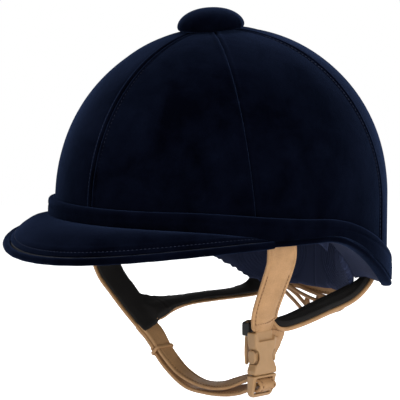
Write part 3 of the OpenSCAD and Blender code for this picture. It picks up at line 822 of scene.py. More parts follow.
for side, half, heart in ((1, "top", (0, -60, -60)), (-1, "under", (0, -60, 80))):
    cloth = surface("velvet_peak_" + half, peakSheet(side), heart=heart)
    solidify(cloth, peak["wall"])
    dress(cloth, *velvetLook, "peak_cover_" + half)


def peakPiping():
    # Rolled edge: a round section, its size wavering a little, carried round the rim
    t = np.linspace(-1, 1, 260)
    centre = peakRim(t) + peak["edge"] * np.stack([sind(90 * t), -cosd(90 * t), 0 * t], -1) * 0.9
    size = peak["edge"] * (1 + 0.02 * np.sin(t * 60))
    return tube("velvet_peak_edge", centre, size, 20)


dress(peakPiping(), *velvetLook, "peak_edge")


def peakStitches():
    # One row in the groove of each side of the peak
    t = np.linspace(-0.96, 0.96, 900)
    root, rim = peakRoot(t), peakRim(t)
    reach = np.linalg.norm(rim - root, axis=-1)
    s = peak["inset"] - peak["grooveAt"] / reach
    line = root + (rim - root) * s[:, None]
    line[:, 2] += peak["rise"] * s * (1 - s) * cosd(90 * t)
    rows = []
    for side in (1, -1):
        path = line.copy()
        path[:, 2] += side * (peak["core"] / 2 + peak["cloth"] - peak["grooveDepth"] * 0.8)
        rows.append(evenPath(path, 3.0))
    centres = np.concatenate(rows)
    ways = np.concatenate([tangents(row) for row in rows])
    outs = np.concatenate([np.tile([0, 0, side], (len(row), 1)) for side, row in zip((1.0, -1.0), rows)])
    return stitches("peak_thread", centres, ways, outs, {"length": 2.0, "radius": 0.18, "rise": 0.03})


dress(peakStitches(), finish["navyThread"], "velvet", "helmet")
print("peak made")

lining = {"inner": -24.2, "padFace": -25.0, "waver": 0.25, "wall": 1.0,
          "columns": 240, "rows": 90}


def liningPoints():
    # From the rim strip under the foam and up the inside to the top, with a soft cove between
    lon = np.linspace(0, 360, lining["columns"], endpoint=False)[:, None]
    s = np.linspace(0, 1, 16)[None]
    grow = lerp(-4.7, lining["inner"] + 0.2, s)
    cove = rimHeight(lon) + 3.4 + 3.0 * ease(s * 1.2) + 1.2 * np.sin(s * math.pi)
    skirt = wallPoint(lon, grow, cove)
    v = np.linspace(0, 1, lining["rows"])[None]
    startLat = footLat(lon, lining["inner"], rimHeight(lon) + 7.0)
    waver = lining["waver"] * np.sin(lon * 0.3) * np.sin(v * 40)
    bag = crownPoint(lon, lerp(startLat, 1.2, v), lining["inner"] + waver)
    return np.concatenate([skirt, bag], 1)


liningPiece = surface("knit_lining", liningPoints(), wrapU=True, heart=(0, 0, 30))
liningPiece.data.flip_normals()
solidify(liningPiece, lining["wall"])
dress(liningPiece, finish["mesh"], "lining_mesh", "helmet", "crown_lining")

padding = {"voxel": 3.2, "pressure": 4.0, "frames": 20, "cap": 1.2, "crownCap": 1.0, "shrink": 0.6,
           "fill": 0.6, "columns": 60, "uvPerDegree": 1.7, "pressed": 1.4}


def applyRemesh(piece, voxel):
    # The same solid with even quads of about this size
    even = piece.modifiers.new("even", "REMESH")
    even.mode = "VOXEL"
    even.voxel_size = voxel * millimetre
    even.use_smooth_shade = True
    return bakeModifiers(piece)


def swell(piece, cap):
    # The cloth is blown up a little from inside, and no point moves further than cap
    applyRemesh(piece, padding["voxel"])
    rest = getPoints(piece)
    cloth = piece.modifiers.new("cloth", "CLOTH")
    cloth.settings.quality = 5
    cloth.settings.mass = 0.2
    cloth.settings.use_pressure = True
    cloth.settings.uniform_pressure_force = padding["pressure"]
    cloth.settings.effector_weights.gravity = 0
    cloth.point_cache.frame_start = 1
    cloth.point_cache.frame_end = padding["frames"]
    for step in range(1, padding["frames"] + 1):
        scene.frame_set(step)
    graph = bpy.context.evaluated_depsgraph_get()
    blown = bpy.data.meshes.new_from_object(piece.evaluated_get(graph))
    flat = np.zeros(len(blown.vertices) * 3)
    blown.vertices.foreach_get("co", flat)
    move = flat.reshape(-1, 3) / millimetre - rest
    far = np.linalg.norm(move, axis=1, keepdims=True)
    piece.modifiers.clear()
    setPoints(piece, rest + move * np.minimum(1, cap / np.maximum(far, 1e-6)))
    scene.frame_set(1)
    finer = piece.modifiers.new("finer", "SUBSURF")
    finer.levels = finer.render_levels = 2
    return bakeModifiers(piece)


def wallCoordinates(points):
    # Angle round the head and growth of each point, found from its place in plan
    y = points[:, 1] - crown["setback"]
    half = halfLength(-y)
    lon = np.degrees(np.arctan2(points[:, 0] / crown["halfWidth"], -y / half))
    size = planSize(points[:, 0] / crown["halfWidth"], y / half)
    return lon, (size - 1) * crown["halfWidth"]


def wallUv(piece):
    # A knit runs round the head and up, so the map is arc length and height
    points = getPoints(piece)
    lon, _ = wallCoordinates(points)
    loops = np.zeros(len(piece.data.loops), int)
    piece.data.loops.foreach_get("vertex_index", loops)
    turn = np.mod(lon + (450 if points[:, 1].mean() < 0 else 360), 360)[loops]
    layer = piece.data.uv_layers.get("UVMap") or piece.data.uv_layers.new(name="UVMap")
    uv = np.stack([turn * padding["uvPerDegree"], points[loops, 2]], -1)
    layer.data.foreach_set("uv", uv.ravel() * millimetre)


def padBlank(lon0, lon1, thickness, rise, drop=0, dropFrom=128):
    # Closed form between two angles: thin rounded ends, face against the lining, soft inner side
    i = np.linspace(0, 1, padding["columns"])[:, None]
    lon = lerp(lon0, lon1, i)
    e = np.sqrt(np.maximum(0, 1 - np.abs(2 * i - 1) ** 6))
    low = rimHeight(lon) - drop * ease((fold(lon) - dropFrom) / 26)
    high = rimHeight(lon) + lerp(12, rise, e)
    middle, half = (low + high) / 2, (high - low) / 2 - padding["shrink"]
    turn = circle(40)[None]
    c, s = np.cos(turn), np.sin(turn)
    depth = (thickness - 2 * padding["shrink"]) * lerp(0.4, 1, e)
    grow = lining["padFace"] - padding["shrink"] - depth * (0.5 - 0.5 * squared(c, 0.6))
    z = middle + half * squared(s, 0.55)
    return wallPoint(lon, grow, z)


def channels(piece, level, depth, width=0.8):
    # Sewn lines pressed into the inner side wherever level(lon, z) is near zero
    points, normals = getPoints(piece), getNormals(piece)
    lon, _ = wallCoordinates(points)
    inward = -unit(points * [1, 1, 0])
    facing = np.clip(np.einsum("ij,ij->i", normals, inward) * 1.4, 0, 1)
    groove = np.exp(-(level(lon, points[:, 2]) / width) ** 2)
    setPoints(piece, points - normals * (depth * groove * facing)[:, None])


def lineSpacing(value, step):
    # Signed distance to the nearest of many lines set step apart
    return (value + step / 2) % step - step / 2


def napeLines(lon, z):
    # Concentric horseshoes either side of the spine, and one line down the middle
    across = (180 - np.abs(lon)) * 1.85
    away = np.hypot((across - 46) * 0.9, (z + 30) * 1.25)
    rings = np.where((away > 13) & (away < 34), lineSpacing(away - 13, 2.7), 9)
    return np.where(np.abs(across) < 1.2, across, rings)


def browLines(lon, z):
    # Upright lines above the rim
    return np.where(z > 4, lineSpacing(lon * 1.9, 19), 9)


def sideLines(lon, z):
    # Lines along the rim
    return lineSpacing(z - rimHeight(lon), 9.5)


def makePad(name, blank, nodeName, lines, depth, width=0.8):
    # Blown up first, then the sewn lines and the knit's map
    piece = surface(name, blank, wrapV=True, caps=True)
    swell(piece, padding["cap"])
    channels(piece, lines, depth, width)
    wallUv(piece)
    dress(piece, finish["pad"], "lining_pad", "helmet", nodeName)


makePad("pad_brow", padBlank(-50, 50, 8, 42), "brow_pad", browLines, 1.0)
makePad("pad_side_left", padBlank(54, 106, 7, 44), "side_pad_left", sideLines, 0.8)
makePad("pad_side_right", padBlank(-106, -54, 7, 44), "side_pad_right", sideLines, 0.8)
makePad("pad_nape", padBlank(112, 248, 6, 44, 12, 124), "nape_pad", napeLines, 0.55, 0.75)


def crownPadBlank():
    # Ring-shaped cushion under the top of the crown
    lon = np.linspace(0, 360, 120, endpoint=False)[:, None]
    turn = circle(48)[None]
    lat = 15.5 - 12.0 * np.cos(turn)
    grow = lining["padFace"] - 4 + 3.3 * squared(np.sin(turn), 0.6)
    return crownPoint(lon, lat, grow)


def crownLines(points):
    # Six spokes and a ring round the middle of the cushion
    around = np.degrees(np.arctan2(points[:, 0], -(points[:, 1] + 11)))
    reach = np.hypot(points[:, 0], points[:, 1] + 11)
    return np.minimum(np.abs(lineSpacing(around, 60) * reach / 57), np.abs(reach - 22))


crownCushion = surface("pad_crown", crownPadBlank(), wrapU=True, wrapV=True)
swell(crownCushion, padding["crownCap"])
points = getPoints(crownCushion)
press = bump(crownLines(points), 0, 1.2) * np.clip(-getNormals(crownCushion)[:, 2], 0, 1)
setPoints(crownCushion, points + np.array([0, 0, 1]) * press[:, None] * padding["pressed"])
wallUv(crownCushion)
dress(crownCushion, finish["pad"], "lining_pad", "helmet", "crown_pad")
print("lining and pads made")

leather, backing = 2.4, 2.0
frontLeft = [
    [100.9, -39, 26, 1, -0.25, 0, 24], [100.9, -39, 8, 1, -0.25, 0, 24],
    [101.2, -39, -8, 1, -0.25, -0.05, 24.5], [96.5, -37.5, -20, 0.96, -0.25, -0.25, 24],
    [82, -35, -48, 0.95, -0.15, -0.35, 24], [76, -31.2, -59.5, 0.99, -0.1, -0.2, 24],
    [74, -29.9, -63.2, 1, 0, 0, 20.8], [72.9, -29.5, -66.6, 1, 0, 0, 16.4],
    [72.2, -29.5, -71, 1, 0, 0, 15], [72, -29.5, -76.6, 1, 0, 0, 14.8]]
frontRight = [
    [-100.9, -39, 26, -1, -0.25, 0, 24], [-100.9, -39, 8, -1, -0.25, 0, 24],
    [-100.9, -38.4, -8, -1, -0.22, -0.05, 24.5], [-98, -36, -24, -0.96, -0.08, -0.2, 25],
    [-89.2, -35, -41, -0.84, 0.02, -0.45, 25], [-77.4, -33.7, -53, -0.72, 0.05, -0.66, 24.5],
    [-64, -33, -65.4, -0.7, 0.03, -0.7, 23.5], [-50.8, -32.2, -77.4, -0.7, 0, -0.7, 21]]
rearLeft = [
    [73.4, -35, -54.5, 1, 0, -0.1, 12], [70.5, -29, -58.5, 0.85, 0.35, -0.4, 14],
    [66.2, -20, -65.3, 0.4, 0.5, -0.77, 15], [65, -8, -68.2, 0, 0.28, -0.95, 16],
    [66, 10, -66.8, -0.06, 0.25, -0.96, 16.5], [67.8, 40, -59.6, -0.18, 0.25, -0.94, 16.5],
    [68, 66, -53.8, -0.14, 0.34, -0.92, 16.5], [67.6, 87, -46, 0.35, 0.66, -0.6, 16],
    [66.6, 99, -36, 0.6, 0.78, 0, 16], [66.4, 101.4, -22, 0.62, 0.78, 0, 16]]
rearRight = [
    [-52.5, -27, -68.5, -0.6, 0.05, -0.8, 17], [-55, -8, -66, -0.34, 0.1, -0.93, 15.6],
    [-59, 18, -65.8, -0.2, 0.06, -0.97, 15.2], [-61, 48, -66.4, -0.18, 0.04, -0.97, 15.2],
    [-61.5, 78, -67, -0.2, 0.1, -0.96, 15.6], [-61.6, 95.5, -64.4, -0.45, 0.5, -0.74, 16],
    [-61.6, 103.4, -56, -0.56, 0.8, -0.2, 16], [-61.2, 105.4, -40, -0.56, 0.83, 0, 16],
    [-61, 105.4, -22, -0.56, 0.83, 0, 16]]
endLeft = [
    [67.4, -14, -67.5, 0.75, 0.3, -0.55, 13], [66.5, -7.5, -73.5, 0.85, 0.1, -0.5, 13.5],
    [66.8, -9, -78.5, 0.92, 0.1, -0.35, 12], [66.9, -11.5, -83, 0.97, 0.1, -0.2, 8.5],
    [67, -14, -88, 1, 0.1, 0, 5.6], [67, -15.5, -92.5, 1, 0.1, 0, 3.2]]
webRight = [
    [-58.5, -27, -67.2, -0.7, 0.03, -0.7, 27], [-57, -17, -67.2, -0.62, 0.05, -0.78, 23.5],
    [-57, -7, -66.4, -0.5, 0.07, -0.86, 18.5], [-58, 5, -66, -0.34, 0.08, -0.93, 15.6],
    [-59.5, 20, -65.8, -0.2, 0.06, -0.97, 14.8]]
padRight = frontRight[2:8] + [[-46.2, -30.8, -81.2, -0.7, 0, -0.7, 20.5]]


def dressHanging(piece, material, slot, *nodes):
    # Straps hang between the helmet, where they are fixed, and the loop under the chin; they ride on no
    # body, and their place is baked into the mesh
    dress(piece, material, slot, None, *nodes)
    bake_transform(piece)
    return piece


joint = {"level": -61.5, "tip": -3, "slant": 0.3, "below": 0.5, "reach": 8.6, "count": 9}


def padEnd(centre, across):
    # The raised layer of the front strap ends in a slanting point above the buckle
    tip = joint["level"] + np.abs(across - joint["tip"]) * joint["slant"]
    return ease((centre[..., 2] - tip) / 1.2)


def rowOnFace(name, keys, thickness, **row):
    # Stitches on the outer face of a hanging strap
    dressHanging(strapStitches(name + "_thread", keys, thickness, both=False, **row), *threadLook)


dressHanging(strapPiece("strap_front_left", frontLeft, leather, bulge=0.7, pad=padEnd),
             *leatherLook, "front_strap_left")
rowOnFace("strap_front_left", frontLeft, leather, lift=0.2, start=48, stop=20, inset=2.9)


def pointStitches():
    # The two rows meet in a shallow point where the raised layer ends
    centre, _, side, out, _ = strapFrames(frontLeft, 0.4)
    across = np.linspace(-1, 1, joint["count"])[:, None] * joint["reach"]
    target = joint["level"] + joint["below"] + np.abs(across[:, 0] - joint["tip"]) * joint["slant"]
    row = np.array([np.argmin(np.abs(centre[:, 2] - z)) for z in target])
    places = centre[row] + side[row] * across + out[row] * (leather / 2 + 0.15)
    return stitches("strap_joint_thread", places, tangents(places), out[row])


rearThick, farThick = 3.2, 1.6
dressHanging(pointStitches(), *threadLook, "strap_joint_left")
dressHanging(strapPiece("strap_rear_left", rearLeft, rearThick, lift=0.3, bulge=0.2),
             *leatherLook, "rear_strap_left")
rowOnFace("strap_rear_left", rearLeft, rearThick, lift=0.3, start=26, stop=30)
dress(strapPiece("strap_end_left", endLeft, leather, stitched=False),
      *leatherLook, "harness", "rear_strap_end")
dressHanging(strapPiece("strap_front_right", frontRight, leather, bulge=0.3),
             *leatherLook, "front_strap_right")
rowOnFace("strap_front_right", frontRight, leather, start=48, stop=6)
webLeather = strapPiece("web", webRight, farThick, trim=0.2, stitched=False)
rearLeather = joined("strap_rear_right", [strapPiece("rear", rearRight, farThick, bulge=0.2), webLeather])
dressHanging(rearLeather, *leatherLook, "rear_strap_right")
rowOnFace("strap_rear_right", rearRight, farThick, start=26, stop=30)

softBacking = {"thick": 3.4, "thin": 2.6, "thickNear": 4.6, "voxel": 1.5, "rounds": 5, "fold": 0.5,
               "foldWidth": 0.7, "folds": (-22.0, -16.5), "fill": 0.7}


def smoothed(piece, rounds):
    # Averages every point with its neighbours, which rounds off steps and creases
    soften = piece.modifiers.new("soften", "SMOOTH")
    soften.factor = 0.5
    soften.iterations = rounds
    return bakeModifiers(piece)


def padLayer(name, keys, thick, trim):
    # Soft layer on the inner side of a strap that follows these keys
    lift = -(leather + thick) / 2 - 0.2
    return strapPiece(name, keys, thick, lift=lift, under=0.8, trim=trim, stitched=False)


def yokePadding():
    # Front and rear backing grown into one soft forked piece, with two folds across its neck
    parts = [padLayer("front", padRight, softBacking["thick"], 0.6),
             padLayer("rear", rearRight[:8], softBacking["thin"], 0.2),
             padLayer("neck", webRight, softBacking["thin"], -0.4)]
    yoke = applyRemesh(joined("backing_right", parts), softBacking["voxel"])
    smoothed(yoke, softBacking["rounds"])
    points, normals = getPoints(yoke), getNormals(yoke)
    for foldAt in softBacking["folds"]:
        near = bump(points[:, 1] + points[:, 2] * 0.12, foldAt, softBacking["foldWidth"])
        inside = np.clip(normals[:, 2] + 0.3, 0, 1) * (points[:, 2] < -52)
        points = points - normals * (softBacking["fold"] * near * inside)[:, None]
    setPoints(yoke, points)
    finer = yoke.modifiers.new("finer", "SUBSURF")
    finer.levels = finer.render_levels = 1
    return bakeModifiers(yoke)


rearPadLeft = padLayer("backing_rear_left", rearLeft[1:9], softBacking["thickNear"], 0.9)
dressHanging(rearPadLeft, finish["padding"], "strap_backing", "rear_backing_left")
yoke = yokePadding()
dressHanging(yoke, finish["padding"], "strap_backing", "rear_backing_right", "front_backing_right")
tack = np.array([-66.2, -34.5, -60.6])
tackWay = unit(np.array([[0.55, -0.3, -0.75]]))
dressHanging(stitches("yoke_tack", tack[None] + 0 * tackWay, tackWay, np.array([[0.7, 0.0, 0.7]]),
                      {"length": 4.2, "radius": 0.42, "rise": 0.1}), finish["paleThread"], "tan_leather")
print("hanging straps made")


nape = {"from": 150, "to": 210, "keys": 21, "below": 5, "bow": 7.5, "wall": -16.1, "width": 9.0,
        "thick": 2.2, "inset": 2.2}


def napeKeys():
    # Follows the wall just inside the rim, bowing down towards the middle of the back
    i = np.linspace(0, 1, nape["keys"])
    lon = lerp(nape["from"], nape["to"], i)
    z = rimHeight(lon) - nape["below"] - nape["bow"] * (1 - (2 * i - 1) ** 2)
    centre = wallPoint(lon, nape["wall"], z)
    out = unit(wallPoint(lon, -10.0, z) - centre)
    return np.concatenate([centre, out, np.full((nape["keys"], 1), nape["width"])], 1)


dress(strapPiece("nape_band", napeKeys(), nape["thick"], bulge=0.2), *leatherLook, "helmet", "nape_strap")
dress(strapStitches("nape_band_thread", napeKeys(), nape["thick"], inset=nape["inset"]),
      *threadLook, "helmet")

laces = {"rows": [[-20, -52, -59, -63.5, -66, -67, -62, -51.5],
                  [-23.2, -53, -62, -67.5, -70, -70, -65.5, -52.5],
                  [-20, -57, -66, -77.5, -77.5, -73, -67.5, -56.5],
                  [-23.2, -58, -71, -82, -80.5, -76, -70.5, -57.5]],
         "from": 206, "to": 154, "radius": 1.5, "turns": 1.5, "knot": 3.1, "knotRadius": 1.15,
         "lobes": [[190.6, -80, 13, -0.05], [184.2, -77, 14, 0.05], [187.5, -79, 7, 0.3]],
         "wraps": [[188.5, -77], [184, -75]]}


def lacePath(row):
    # Each row is the growth of the wall that the lace lies on, then its heights at even steps
    lon = np.linspace(laces["from"], laces["to"], 7)
    return smoothPath(wallPoint(lon, row[0], np.array(row[1:], float)), 14)


laceParts = [tube("lace", lacePath(row), laces["radius"], 12) for row in laces["rows"]]


def knotPath(centre):
    # Wraps round the lace, opening into a small loop
    a = np.linspace(0, laces["turns"] * 2 * math.pi, 60)
    across = np.linspace(-1.6, 1.6, 60)
    return centre + np.stack([laces["knot"] * np.cos(a) * 0.8, across, laces["knot"] * np.sin(a)], -1)


def knotLobe(lon, height, reach, lean):
    # A pulled-through end: a long drop shape standing up from the laces
    t = np.linspace(0, 1, 24)
    base = wallPoint(lon, -18.5, height)
    rise = np.stack([lean * t * reach, -1.2 * np.sin(t * 3), t * reach], -1)
    return tube("lobe", base + rise, 0.5 + 2.0 * np.sin(np.pi * np.clip(t * 0.9 + 0.1, 0, 1)) ** 0.7, 14)


laceParts += [knotLobe(*lobe) for lobe in laces["lobes"]]
laceParts += [tube("wrap", knotPath(wallPoint(lon, -20.5, height)), laces["knotRadius"], 10)
              for lon, height in laces["wraps"]]
dress(joined("nape_laces", laceParts), finish["lace"], "lace_leather", "helmet", "nape_lace")


eyelets = {"radius": 2.35, "roll": 0.62, "level": 0.5, "wall": -18.2, "lons": (153.0, 207.0),
           "downs": (-3.5, -9.5)}


def eyelet(lon, down):
    # Rolled ring: a small torus with a slightly flattened section
    centre = wallPoint(lon, eyelets["wall"], rimHeight(lon) + down)
    out = unit(wallPoint(lon, -12.0, rimHeight(lon) + down) - centre)
    up = np.array([0, 0, 1.0])
    side = np.cross(up, out)
    turn = circle(36)[:, None]
    ring = circle(12)[None]
    reach = eyelets["radius"] + eyelets["roll"] * np.cos(ring)
    level = eyelets["level"] * np.sin(ring)
    points = (centre + side * (reach * np.cos(turn))[..., None] + up * (reach * np.sin(turn))[..., None]
              + out * (level + 0 * turn)[..., None])
    return surface("eyelet", points, wrapU=True, wrapV=True)


laceRings = joined("lace_rings", [eyelet(lon, down) for lon in eyelets["lons"] for down in eyelets["downs"]])
dress(laceRings, finish["brass"], "eyelet_brass", "helmet", "lace_eyelets")

chinKeys = [
    [-36.7, -29.5, -89.4, 0.74, 0, 0.67, 15], [-27.8, -29.5, -98, 0.7, 0, 0.7, 15],
    [-12.9, -29.5, -108.6, 0.5, 0, 0.86, 15], [6, -29.5, -114.6, 0.12, 0, 0.99, 15],
    [24.4, -29.5, -114.6, -0.14, -0.2, 0.97, 15], [40, -29.5, -110.8, -0.24, -0.42, 0.88, 15],
    [53, -29.5, -106.2, -0.26, -0.36, 0.9, 15], [65, -29.5, -103.7, -0.1, 0, 1, 15],
    [73.5, -29.5, -103.4, 0.3, 0, 1, 15], [78.4, -29.5, -107, 1, 0, 0, 16.2],
    [73.5, -29.5, -110.9, 0.3, 0, -1, 15], [65, -29.5, -111.6, 0.1, 0, -1, 15],
    [53, -29.5, -113.6, 0.3, 0.36, -0.9, 15], [38, -29.5, -117, 0.15, 0.32, -0.93, 15],
    [18, -29.5, -120.3, 0, 0, -1, 15], [-3.6, -29.5, -118.4, -0.35, 0, -0.93, 15],
    [-24.4, -29.5, -107.4, -0.6, 0, -0.8, 15], [-40.4, -29.5, -93.4, -0.7, 0, -0.7, 15]]
sleeveKeys = [[-51.4, -31.5, -76.6, -0.7, 0, -0.7, 20], [-48.6, -31.3, -79.2, -0.7, 0, -0.7, 19],
              [-43.4, -30.2, -84, -0.72, 0, -0.7, 18.5], [-36.1, -29.5, -92.6, -0.74, 0, -0.67, 16.6]]
tailKeys = [[58.6, -29.4, -61, 0.89, 0.45, 0, 11], [58.2, -29.8, -72, 0.89, 0.45, 0, 11],
            [57.7, -30.2, -84, 0.88, 0.47, 0, 10], [57.2, -30.6, -94, 0.87, 0.49, 0, 3]]

chin = strapPiece("strap_chin", chinKeys, leather, bulge=0.15)
dress(chin, *leatherLook, None, "chin_strap")
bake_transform(chin)
chinThread = strapStitches("strap_chin_thread", chinKeys, leather, start=17, stop=14, inset=2.4)
dress(chinThread, *threadLook, None)
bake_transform(chinThread)

sleeve = joined("chin_sleeve_leather", [
    strapPiece("inner", sleeveKeys, 3.0, lift=-1.6, bulge=0.2, under=0.35, trim=0.7, stitched=False),
    strapPiece("outer", sleeveKeys, 2.9, lift=1.5, bulge=0.2, trim=-0.2)])
dress(sleeve, *leatherLook, "harness", "chin_sleeve")
dress(strapStitches("chin_sleeve_thread", sleeveKeys, 6.0, start=3.5, stop=1.0, both=False),
      *threadLook, "harness")
dress(strapPiece("adjuster_tail", tailKeys, leather, stitched=False), finish["leatherEdge"], "tan_leather",
      "harness", "strap_tail")


loopShape = {"corners": 0.32, "section": 0.5}


def loopBand(name, centre, across, along, width, depth, wall, height):
    # Closed band: a rounded rectangle carried round, with a soft rectangular section
    normal = np.cross(across, along)
    turn = circle(120)[:, None]
    u, w = squared(np.cos(turn), loopShape["corners"]), squared(np.sin(turn), loopShape["corners"])
    ring = circle(20)[None]
    swellOut = wall / 2 * squared(np.cos(ring), loopShape["section"])
    level = height / 2 * squared(np.sin(ring), loopShape["section"])
    reachU = width / 2 - wall / 2 + swellOut
    reachW = depth / 2 - wall / 2 + swellOut
    points = (np.array(centre) + across * (u * reachU)[..., None] + normal * (w * reachW)[..., None]
              + along * (level + 0 * turn)[..., None])
    return surface(name, points, wrapU=True, wrapV=True)


keeperWay = unit(np.array([0.707, 0, -0.707]))
keeper = loopBand("keeper_loop", (-34.9, -29.5, -95), np.array([0, 1.0, 0]), keeperWay, 17.8, 10.6, 1.2, 2.6)
dress(keeper, finish["leather"], "tan_leather", "keeper", "strap_keeper")
ringWay = np.array([0, 0, 1.0])
ringAcross = np.array([-sind(27), cosd(27), 0])
ring = loopBand("tail_elastic", (58.4, -29.6, -66.5), ringAcross, ringWay, 14.9, 6.9, 1.3, 9.8)
dress(ring, finish["rubber"], "ring_rubber", "ring", "tail_ring")
print("chin strap and loops made")

buckle = {"x": 72, "y": -29.5, "thick": 9.0, "width": 22.0, "socketTop": -74.0, "socketFoot": -99.0,
          "latch": -85.5, "thumb": 6.8, "clearance": 1.15, "bite": 2.4, "edge": 1.3, "voxel": 0.42,
          "rounds": 5, "hollow": (5.6, 18.2), "roof": 5.6, "slot": (4.4, 17.2, 11), "frameDrop": 17.1,
          "bladeTop": -83, "bladeThick": 4.6, "armAcross": 6.2, "padHalf": 3.4, "padDome": 2.2}


def arc(cy, cz, radius, a0, a1, count=9):
    # Points on a circle between two angles
    a = np.radians(np.linspace(a0, a1, count))
    return np.stack([cy + radius * np.cos(a), cz + radius * np.sin(a)], -1)


def roundedPlate(name, outline, x0, x1, edge, steps=6):
    # An outline carried through a thickness; near both faces it draws in along a quarter circle
    outline = np.concatenate([outline, outline[:1]])
    outline = evenPath(outline, 0.35)[:-1]
    tangent = unit(np.roll(outline, -1, 0) - np.roll(outline, 1, 0))
    inward = np.stack([-tangent[:, 1], tangent[:, 0]], -1)
    ahead = np.roll(outline, -1, 0)
    inward = inward * np.sign(np.sum(outline[:, 0] * ahead[:, 1] - ahead[:, 0] * outline[:, 1]))
    turn = np.linspace(0, math.pi / 2, steps)
    drawIn, step = edge * (1 - np.sin(turn)), edge * (1 - np.cos(turn))
    draw = np.concatenate([drawIn, drawIn[::-1]])
    x = np.concatenate([x0 + step, (x1 - step)[::-1]])
    flat = outline[None] + inward[None] * draw[:, None, None]
    points = np.stack([np.broadcast_to(x[:, None], flat.shape[:2]) + buckle["x"],
                       flat[..., 0] + buckle["y"], flat[..., 1]], -1)
    return surface(name, points, wrapV=True, caps=True, sharp=32)


def block(name, centre, size, edge=0.3):
    # Rectangular cutting tool
    w, h = size[1] / 2, size[2] / 2
    outline = np.array([[-w, -h], [w, -h], [w, h], [-w, h]]) + np.array([centre[1], centre[2]])
    return roundedPlate(name, outline, centre[0] - size[0] / 2, centre[0] + size[0] / 2, edge, 3)


def roundedOutline(corners):
    # Polygon whose corners, each [y, z, radius], are replaced by arcs that touch both sides
    arcs = []
    for k, (y, z, radius) in enumerate(corners):
        corner = np.array([y, z], float)
        before = np.array(corners[k - 1][:2], float) - corner
        after = np.array(corners[(k + 1) % len(corners)][:2], float) - corner
        half = math.acos(float(unit(before) @ unit(after))) / 2
        reach = min(radius / math.tan(half), 0.48 * np.linalg.norm(before), 0.48 * np.linalg.norm(after))
        bend = unit(unit(before) + unit(after))
        centre = corner + bend * reach / math.cos(half)
        a = corner + unit(before) * reach - centre
        b = corner + unit(after) * reach - centre
        a0 = math.atan2(a[1], a[0])
        turn = (math.atan2(b[1], b[0]) - a0 + math.pi) % (2 * math.pi) - math.pi
        angle = a0 + turn * np.linspace(0, 1, 8)
        arcs.append(centre + np.linalg.norm(a) * np.stack([np.cos(angle), np.sin(angle)], -1))
    return np.concatenate(arcs)


def moulded(piece):
    # Joins overlapping parts into one skin and rounds every edge a little, as a mould does
    applyRemesh(piece, buckle["voxel"])
    return smoothed(piece, buckle["rounds"])


def socketOutline():
    # Two ears beside the strap slot, a waist at the windows and a flared foot
    w, top, foot, latch = buckle["width"] / 2, buckle["socketTop"], buckle["socketFoot"], buckle["latch"]
    return roundedOutline([
        [-w - 0.5, top + 6.9, 1.2], [-w + 1.9, top + 6.7, 1.1], [-w + 3.0, top + 2.4, 4],
        [-w + 4.3, top, 1.0],
        [w - 2.9, top, 0.9], [w - 2.3, top + 3.0, 0.9], [w - 0.2, top + 3.0, 1.0], [w, top - 3, 6],
        [w - 1.1, latch + 6.4, 4], [w - 1.1, latch - 6.4, 4], [w + 0.7, foot + 3.6, 2.5],
        [w + 0.7, foot, 1.7],
        [-w - 0.7, foot, 1.7], [-w - 0.7, foot + 3.6, 2.5], [-w + 1.1, latch - 6.4, 4],
        [-w + 1.1, latch + 6.4, 4], [-w - 0.1, top - 3, 6]])


def makeSocket():
    # Plate made even first, so that the two round windows, slot and hollow cut cleanly
    half = buckle["thick"] / 2
    socket = roundedPlate("buckle_body", socketOutline(), -half, half, buckle["edge"])
    applyRemesh(socket, buckle["voxel"])
    top, foot, w = buckle["socketTop"], buckle["socketFoot"], buckle["width"] / 2
    for hand in (-1, 1):
        rim = arc(hand * (w + buckle["bite"]), buckle["latch"], buckle["thumb"], 0, 352, 45)
        cut(socket, roundedPlate("bite", rim, -8, 8, 0.3))
    cut(socket, block("slot", (0, 0, top + 1.5), buckle["slot"]))
    low, high = foot - 3, top - buckle["roof"]
    cut(socket, block("hollow", (0, 0, (low + high) / 2), (*buckle["hollow"], high - low)))
    return moulded(socket)


def makeTongue():
    # Flange, side bars and cross bar around the opening that the chin strap passes through;
    # the frame thins towards its foot and leans inwards
    w, foot, half = buckle["width"] / 2 + 1, buckle["socketFoot"], buckle["thick"] / 2 - 0.5
    outline = roundedOutline([[-w, foot - 0.5, 1.0], [w, foot - 0.5, 1.0],
                              [w - 0.8, foot - buckle["frameDrop"], 4.2],
                              [-w + 0.8, foot - buckle["frameDrop"], 4.2]])
    frameBody = roundedPlate("tongue", outline, -half, half, 1.2)
    cut(frameBody, block("window", (0, 0, foot - 8.5), (buckle["thick"] + 4, 2 * w - 7.4, 12.0), 0.5))
    points = getPoints(frameBody)
    thin = np.clip((foot - 0.9 - points[:, 2]) / 15.8, 0, 1)
    points[:, 0] = buckle["x"] + (points[:, 0] - buckle["x"]) * lerp(1, 0.5, thin) - 2.2 * thin
    setPoints(frameBody, points)
    bar = np.stack([np.full(30, buckle["x"] - 1.4), np.linspace(-w + 2.5, w - 2.5, 30) + buckle["y"],
                    np.full(30, foot - 8.0)], -1)
    low, high, thick = foot - 1, buckle["bladeTop"], buckle["bladeThick"]
    blade = block("blade", (0, 0, (low + high) / 2), (thick, 4.0, high - low), 0.6)
    parts = [frameBody, tube("bar", bar, 1.5, 20), blade]
    for hand in (-1, 1):
        parts.append(block("root", (0, hand * buckle["armAcross"], foot + 0.5), (thick, 3.4, 3.0), 0.5))
    return moulded(joined("buckle_tongue_frame", parts))


